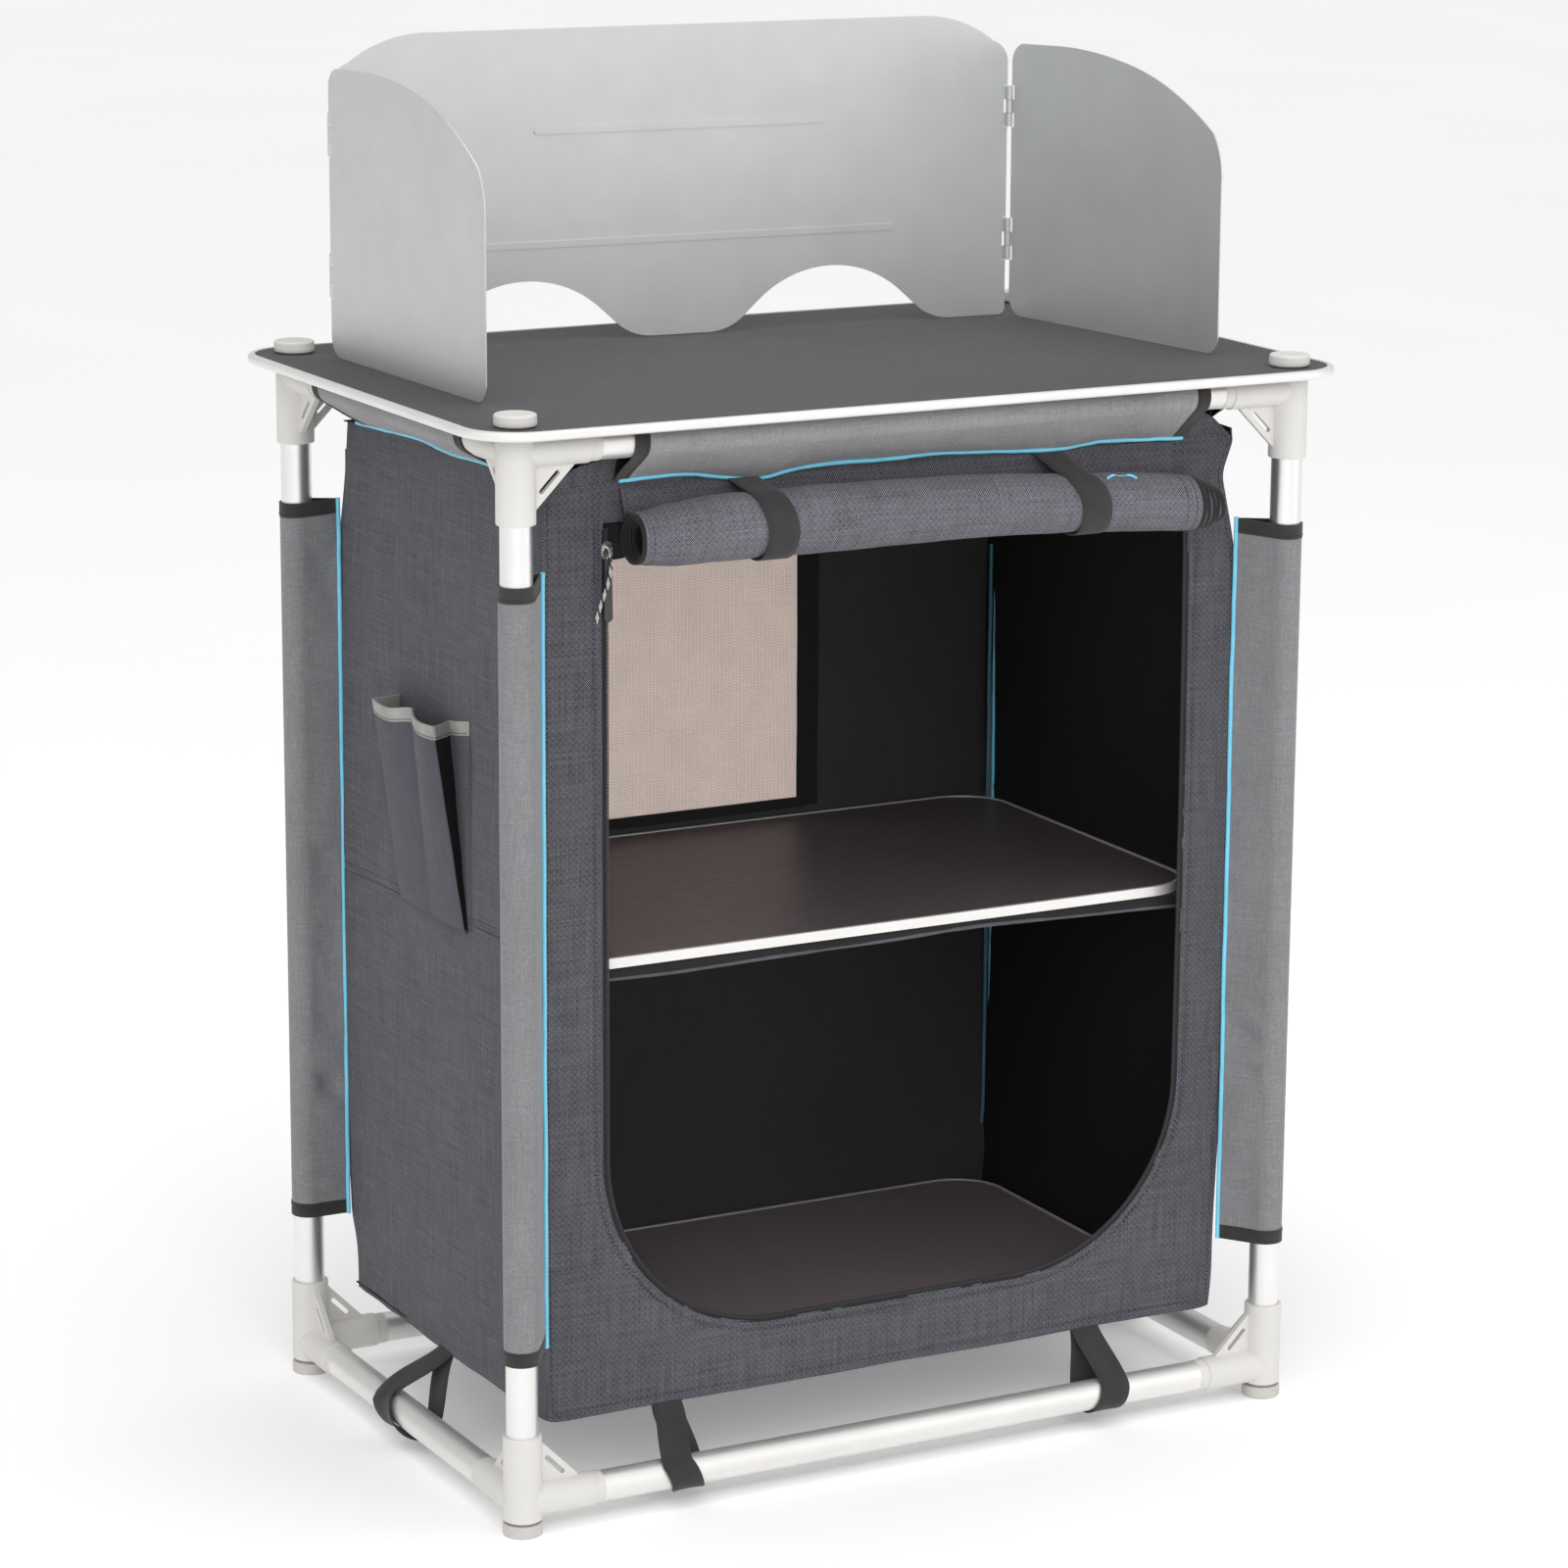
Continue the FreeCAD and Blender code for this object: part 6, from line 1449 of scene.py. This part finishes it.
def leg_sleeve(cloth, name, seed):
    seam, dents = LEG_SLEEVES[name]
    low, high = box_mm("leg_" + name)
    middle = ((low + high) / 2)[:2]
    bottom, top = LEG_SPANS[name]
    at = np.linspace(bottom, top, 260)
    tips = join(seam[0] + 0.5 * NOISE_B(at / 60, 3.1), seam[1] + 0.4 * NOISE_B(at / 70, 7.7))
    section = teardrops(middle, LEG_SLEEVE_RADIUS, tips)
    normal = section_normals(section)
    loose = looseness()
    around = np.linspace(0, 1, len(section))[:, None]
    lower = 0.55 + 0.75 * smooth((520 - at) / 200)
    slope = (around - 0.5) * 26
    depth = (NOISE_C.fbm((at + slope) / 30 + seed * 5, around * 2.2) * 1.9 * lower
             + NOISE_A.fbm(at / 95 + seed, around * 2, 2) * 1.1)
    # three slanting creases above the sleeve's foot
    depth = (depth - 1.7 * bell((at + slope * 1.6) - (bottom + 130), 9.0) * lower
             - 1.3 * bell((at + slope) - (bottom + 168), 7.0)
             - 0.9 * bell((at - slope) - (bottom + 300), 12.0))
    ends = smooth((at - bottom) / 16) * smooth((top - at) / 16)
    fine = 0.10 * NOISE_D.fbm(at / 18, around * 14, 2) * (0.3 + loose)
    section = section + normal * (depth * loose * dents * ends + fine)[..., None]
    # keep the cloth from sinking into the leg
    away = section - middle
    far = np.linalg.norm(away, axis=-1, keepdims=True)
    section = middle + away / far * np.maximum(far, LEG_SLEEVE_RADIUS - 0.28)
    tilt = np.clip(np.linalg.norm(section - np.asarray(seam), axis=-1) / 45, 0, 1)
    half = (bottom + top) / 2
    z = (at + np.where(at > half, -2.2 * tilt, 0.8 * tilt)
         * smooth(np.abs(at - half) / 280))
    surface = join(section[..., 0], section[..., 1], z)
    normal = join(normal[..., 0], normal[..., 1], 0.0)
    coords = join(lengths(surface[:, len(at) // 2])[:, None], at)
    cloth.loop_shell(surface, SLEEVE_THICK, coords)
    for part, outward, stitched in cuff_parts(at, LEG_CUFF):
        cuff_normal = normal[:, part]
        cuff = surface[:, part] + cuff_normal * 0.14
        cuff[..., 2] += outward * 0.6
        cloth.loop_shell(cuff, 1.55, coords[:, part, ::-1], outer=2, inner=2)
        row_normal = cuff_normal[2:-2, stitched]
        cloth.sew(cuff[2:-2, stitched] + row_normal * 0.88, row_normal, pitch=3.4)


def sleeves(name, replaced, weave, make_one, places):
    cloth = Builder(weave, LINING, BINDING, DARK_THREAD)
    for seed, place in enumerate(places, 1):
        make_one(cloth, place, seed)
    cloth.build(name, "sleeve_cloth", replaced)


# the top rail sleeves take the brightened copy of the sleeve weave: painted light
sleeves("top_rail_sleeve_cloth", "top_rail_sleeves", TOP_SLEEVE_PAINTED_LIGHT, rail_sleeve, RAIL_SLEEVES)
sleeves("leg_sleeve_cloth", "leg_sleeves", SLEEVE, leg_sleeve, LEG_SLEEVES)

# ----------------------------------------------------------------- blue piping
# leg cords: corner and plan position
LEG_CORDS = [("front_left", LEFT - 1.6, FRONT - 4.3), ("front_right", RIGHT + 2.2, FRONT - 4.4),
             ("rear_left", LEFT - 3.9, BACK - 2.6), ("rear_right", RIGHT + 3.9, BACK - 2.6)]
# side cords: plan x and height (y, z)
SIDE_CORDS = [
    (LEFT - 2.6, [(-141, 820.6), (-90.5, 821.3), (-24, 819.6), (32, 822.2), (88.5, 820.1),
                  (157, 817.3)]),
    (RIGHT + 2.6, [(-141, 818.6), (-60, 819.3), (32, 818.2), (157, 817.0)])]


def inner_piping():
    """Cords inside the cabinet's two rear corners."""
    # the inner cords take the darkened copy of the blue piping: painted shade
    cord = Builder(INNER_CORD_PAINTED_SHADE)
    for side, top in ((-1, 790), (1, 661)):
        z = np.linspace(131, top, 220)
        x = side * (RIGHT - 3.0) + 0.5 * NOISE_A.fbm(z / 50, side + 5.0)
        y = (BACK - 5.2 + 0.4 * NOISE_A.fbm(z / 66, side * 3.0)
             + 2.5 * np.exp(-(z - 131) / 14))
        cord.tube(join(x, y, z), radius=1.5)
    cord.build("inner_piping_cord", "piping")


def seam_piping():
    """Cords down the leg sleeves' seams and along the four top seams."""
    cord = Builder(CORD)
    for name, x, y in LEG_CORDS:
        bottom, top = LEG_SPANS[name]
        z = np.linspace(bottom - 0.5, top + 1.5, 240)
        cord.tube(join(x + 0.45 * NOISE_A.fbm(z / 60, x) + 0.15 * NOISE_B(z / 13, x),
                       y + 0.4 * NOISE_A.fbm(z / 70, y), z), radius=1.75, sides=12)
    x = np.linspace(-244.6, 257.5, 260)
    z = curve(x, TOP_SEAM)
    cord.tube(join(x, front_y(x, z) - 3.2 + 0.3 * NOISE_A(x / 20, 1.0),
                   z + 0.25 * NOISE_B(x / 9, 3.0)), radius=1.75, sides=12)
    y = np.linspace(-139, 157, 170)
    for x, heights in SIDE_CORDS:
        cord.tube(join(x + 0.3 * NOISE_A(y / 20, 4.0), y,
                       curve(y, heights) + 0.2 * NOISE_B(y / 9, 3.0)), radius=1.7, sides=12)
    x = np.linspace(-248, 248, 200)
    cord.tube(join(x, BACK + 2.4, rear_seam(x)), radius=1.7)
    cord.build("seam_piping_cord", "piping", "seam_piping")


inner_piping()
seam_piping()

# --------------------------------------------------------------- utensil pocket
POCKET_BOTTOM, POCKET_TOP = POCKET_LOW[2], POCKET_HIGH[2]
POCKET_WALL = LEFT - 0.75
# points along the plan line: flange on the wall, pleat, front bay, rear bay, rear gusset
POCKET_COUNTS = (21, 24, 42, 42, 21)
POCKET_ROWS = 90


def pocket_line(k):
    """Plan line of the pocket at height share k, from the front of the flange to the back."""
    foot = POCKET_WALL - 3.4
    corners = np.array([
        (POCKET_WALL, -51.0 - 1.5 * k), (POCKET_WALL - 0.5, -46.5 + 33.0 * k),
        (foot - 18.4 * k, -47.0 + 16.0 * k), (foot - 14.6 * k, 16.0 + 2.0 * k),
        (foot - 22.6 * k, 77.0), (POCKET_WALL, 81.0 + 0.8 * k)])
    # bow of each part in x and y, and the power that shapes it
    bows = [((0, 0), 1), ((0, 0), 1), ((-(1.2 + 4.4 * k), 0), 0.8),
            ((-(1.2 + 3.2 * k), 0), 0.8), ((2.0 * k, -1.5 * k), 1)]
    parts = []
    for i, (count, (bow, power)) in enumerate(zip(POCKET_COUNTS, bows)):
        t = np.linspace(0, 1, count, endpoint=i == len(bows) - 1)[:, None]
        parts.append(corners[i] + (corners[i + 1] - corners[i]) * t
                     + np.sin(PI * t) ** power * np.array(bow))
    line = np.concatenate(parts)
    line[1:-1] = (line[:-2] + line[1:-1] + line[2:]) / 3
    return line


def pocket_bag(cloth):
    """The pocket's outside, with light tape round its rim."""
    share = np.linspace(0.0, 1.0, POCKET_ROWS)
    plan = np.stack([pocket_line(k) for k in share], 1)
    count = len(plan)
    height = POCKET_TOP - POCKET_BOTTOM
    pleat, front, middle, rear = (int(mark) for mark in np.cumsum(POCKET_COUNTS)[:4])
    rim_drop = curve(np.arange(count), [
        (0, -3.6), (pleat, 3.0), (front, 2.4), ((front + middle) // 2, 1.6), (middle, -2.4),
        ((middle + rear) // 2, 2.2), (rear, 0.4), (count - 1, 0.6)])[:, None]
    z = POCKET_BOTTOM + 1.0 + (height - 1.2 - rim_drop) * share
    wrinkles = NOISE_A.fbm(plan[..., 1] / 22, z / 40) * 0.8 * np.sin(PI * share)
    surface = join(np.minimum(plan[..., 0] + wrinkles, POCKET_WALL - 0.15), plan[..., 1], z)
    around = lengths(surface[:, -1])[:, None]
    # reversed, to run from back to front, so that the outer side faces left
    surface, coords = surface[::-1], join(around, z)[::-1]
    normal = unit(np.cross(np.gradient(surface, axis=0), np.gradient(surface, axis=1)))
    pleat_start, pleat_end, last = count - front - 1, count - pleat - 1, count - 1
    # the pleat's outside takes the black lining (material 1): painted shade for the shadow inside
    # the fold
    for start, end, outer in ((0, pleat_start, 0), (pleat_start, pleat_end, 1),
                              (pleat_end, last, 0)):
        part = slice(start, end + 1)
        cloth.shell(surface[part], 0.9, coords[part], outer=outer)
    rim = slice(int(POCKET_ROWS * (1 - 11.5 / height)), None)
    tape, tape_normal = surface[:, rim] + (0, 0, 0.5), normal[:, rim]
    cloth.shell(tape + tape_normal * 0.05, 1.7, join(surface[:, rim, 2], around),
                outer=2, inner=2)
    cloth.sew(tape[2:-2, 1] + tape_normal[2:-2, 1] * 0.95, tape_normal[2:-2, 1], pitch=3.4)


def utensil_pocket():
    cloth = Builder(POCKET_CLOTH, LINING, LIGHT_TAPE, DARK_THREAD)
    pocket_bag(cloth)
    # divider from the wall to the middle of the pocket
    u, v = shares(14, 60)
    k = 0.06 + 0.90 * v
    x = POCKET_WALL - 0.2 - (3.0 + 14.4 * k) * u
    z = POCKET_BOTTOM + 1.0 + (POCKET_TOP - POCKET_BOTTOM - 8.0) * k
    cloth.shell(join(x, 16.0 + 2.0 * k + 0.8 * np.sin(PI * u), z), 0.8, join(x, z), inner=0)
    # back sheet against the wall
    y = np.linspace(81.5, -51.5, 40)[:, None]
    z = np.linspace(POCKET_BOTTOM + 0.5, POCKET_TOP - 6, 50)[None, :]
    cloth.shell(join(POCKET_WALL + 0.35, y, z), 0.5, join(y, z))
    # seam along the bottom
    y = np.linspace(-50.5, 80.5, 60)
    cloth.tube(join(POCKET_WALL - 3.4, y, POCKET_BOTTOM + 1.6 + 0.4 * NOISE_A(y / 20, 1.0)),
               radius=1.0, sides=8)
    # stitched strip down the front end
    z = np.linspace(POCKET_BOTTOM + 3, POCKET_TOP - 15, 90)
    cloth.band(join(POCKET_WALL - 0.7, -52.3, z), (0, 1, 0), width=4.6, thick=0.8)
    cloth.sew(join(POCKET_WALL - 1.3, -52.6, z), (-1, 0, 0))
    cloth.build("utensil_pocket_cloth", "cabinet_cloth", "utensil_pocket")


utensil_pocket()

# ------------------------------------------------------------ tie-down straps
TIE_RADIUS = 12.5 + 1.3
TIE_ARC, TIE_RUN = 56, 24
# rail, place along it, shifts along it at the hem, where the strap meets the rail and where
# it leaves it, plan position of the hem, slack
TIES = [
    ("front", -205.0, 3.0, -6.0, 14.0, FRONT + 1.2, 0.6),
    ("front", 187.0, -2.0, 5.0, -10.0, FRONT + 1.2, 0.6),
    ("rear", -195.0, 2.0, -3.0, 4.0, BACK - 1.2, 0.0),
    ("rear", 195.0, -2.0, 3.0, -4.0, BACK - 1.2, 0.0),
    ("left", 10.0, 0.0, 24.0, -22.0, LEFT + 1.2, 1.5),
    ("right", 0.0, 2.0, -4.0, 6.0, RIGHT - 1.2, 0.0)]


def tie_down(webbing, side, at, hem_shift, meet_shift, leave_shift, hem_at, slack):
    """Strap from the hem, round a bottom rail and back to the hem."""
    low, high = box_mm("bottom_rail_" + side)
    middle = (low + high) / 2
    along_x = side in ("front", "rear")
    centre = np.array([middle[1 if along_x else 0], middle[2]])
    turn = np.sign(hem_at - centre[0])
    tip = np.array([hem_at, BOTTOM + 1.2])
    arc = tangent_arc(centre, TIE_RADIUS, tip, TIE_ARC, turn)
    across, z = loop_path(arc, tip, tip + (1.6 * turn, 0), TIE_RUN).T
    run = np.linspace(0, 1, TIE_RUN, endpoint=False)
    ease, bow = smooth(run), np.sin(PI * run)
    along = at + np.concatenate([hem_shift + (meet_shift - hem_shift) * ease,
                                 np.linspace(meet_shift, leave_shift, TIE_ARC),
                                 (leave_shift * ease + hem_shift * (1 - ease))[::-1]])
    across = across - turn * slack * np.concatenate([bow, np.zeros(TIE_ARC), bow[::-1]])
    path = join(along, across, z) if along_x else join(across, along, z)
    webbing.band(path, (1, 0, 0) if along_x else (0, 1, 0), STRAP_WIDTH, STRAP_THICK)


tie_webbing = Builder(WEBBING)
for tie in TIES:
    tie_down(tie_webbing, *tie)
tie_webbing.build("tie_down_webbing", "webbing", "tie_down_straps")


# ------------------------------------------------------------ cord on the zip pull
def zip_pull_cord():
    """Three twisted strands hanging from the zip pull."""
    low, high = box_mm("zip_pull")
    cord = Builder(thread("pull_cord_light", (0.52, 0.52, 0.51), rough=0.4),
                   thread("pull_cord_dark", (0.03, 0.03, 0.03), rough=0.5))
    s = np.linspace(0, 1, 60)
    x = (low[0] + high[0]) / 2 + 1.5 - 13.0 * s**1.15 + 0.8 * np.sin(s * 6)
    y = (low[1] + high[1]) / 2 - 2.3 - 0.8 * np.sin(s * PI)
    z = high[2] - 8.6 - (high[2] - low[2] - 8.6) * s
    for phase, number in ((0.0, 0), (2.1, 1), (4.2, 0)):
        twist = s * 34 + phase
        cord.tube(join(x + 0.85 * np.cos(twist), y + 0.6 * np.sin(twist), z), radius=0.72,
                  number=number, sides=7)
    cord.build("zip_pull_cord", "zip_metal", body="zip_pull")


zip_pull_cord()


# ------------------------------------------- floor, light and camera (in metres)
def studio_floor():
    half, white = 40, (0.93, 0.93, 0.93)
    mesh = bpy.data.meshes.new("studio_floor")
    mesh.from_pydata([(-half, -half, 0), (half, -half, 0), (half, half, 0), (-half, half, 0)],
                     [], [(0, 1, 2, 3)])
    s = Shader("studio_floor_paint")
    wide = s.noise(s.place(), scale=1.3, detail=3.0)
    s.set(Base_Color=s.tint(white, s.ramp(wide, (0.3, 0.7), to=(0.99, 1.01))), Roughness=0.9,
          Specular_IOR_Level=0.1, Emission_Color=(1.0, 1.0, 1.0), Emission_Strength=0.19)
    mesh.materials.append(s.material)
    floor = bpy.data.objects.new("studio_floor", mesh)
    bpy.context.scene.collection.objects.link(floor)


def studio_world():
    """White to the camera; as light, brighter from the front left and above."""
    world = bpy.data.worlds.new("studio")
    bpy.context.scene.world = world
    world.use_nodes = True
    nodes = Nodes(world.node_tree)
    output = nodes.node("ShaderNodeOutputWorld")
    direction = nodes.node("ShaderNodeTexCoord").outputs["Generated"]
    bright_side = (-0.42, -0.84, 0.34)
    facing = nodes.node("ShaderNodeVectorMath", direction, bright_side,
                        operation="DOT_PRODUCT").outputs["Value"]
    strength = nodes.ramp(facing, (-0.25, 0.9), to=(0.50, 1.12))
    lit = nodes.node("ShaderNodeBackground", (1, 1, 1), strength)
    seen = nodes.node("ShaderNodeBackground", (1, 1, 1), 1.0)
    camera_ray = nodes.node("ShaderNodeLightPath").outputs["Is Camera Ray"]
    mixed = nodes.node("ShaderNodeMixShader", camera_ray, lit.outputs[0], seen.outputs[0])
    nodes.put(output.inputs[0], mixed.outputs[0])


def area_light(name, place, target, size, power):
    light = bpy.data.lights.new(name, "AREA")
    light.shape = "RECTANGLE"
    light.size, light.size_y = size
    light.energy = power
    lamp = bpy.data.objects.new(name, light)
    bpy.context.scene.collection.objects.link(lamp)
    lamp.location = place
    lamp.rotation_mode = "QUATERNION"
    lamp.rotation_quaternion = (Vector(target) - Vector(place)).to_track_quat("-Z", "Y")


def studio_camera():
    lens = bpy.data.cameras.new("camera")
    lens.lens, lens.sensor_width, lens.sensor_fit = 116.479, 36.0, "HORIZONTAL"
    lens.clip_start, lens.clip_end = 0.1, 100
    camera = bpy.data.objects.new("camera", lens)
    bpy.context.scene.collection.objects.link(camera)
    right = (0.88159176, -0.47198284, 0.00530693)
    up = (0.10350326, 0.20427337, 0.97342666)
    backward = (-0.46052475, -0.85761564, 0.22893748)
    place = (-1.919573, -3.570064, 1.471251)
    camera.matrix_world = Matrix((*zip(right, up, backward, place), (0, 0, 0, 1)))
    bpy.context.scene.camera = camera


studio_floor()
studio_world()
area_light("key", place=(-1.6, -3.6, 2.6), target=(0, 0, 0.6), size=(2.2, 2.2), power=34)
area_light("fill", place=(2.9, -2.6, 1.7), target=(0, 0, 0.6), size=(1.8, 2.4), power=16)
area_light("top", place=(0.2, -0.2, 3.4), target=(0, 0, 0.8), size=(2.6, 2.0), power=22)
studio_camera()
bpy.context.scene.view_settings.view_transform = "Standard"

bpy.context.view_layer.update()
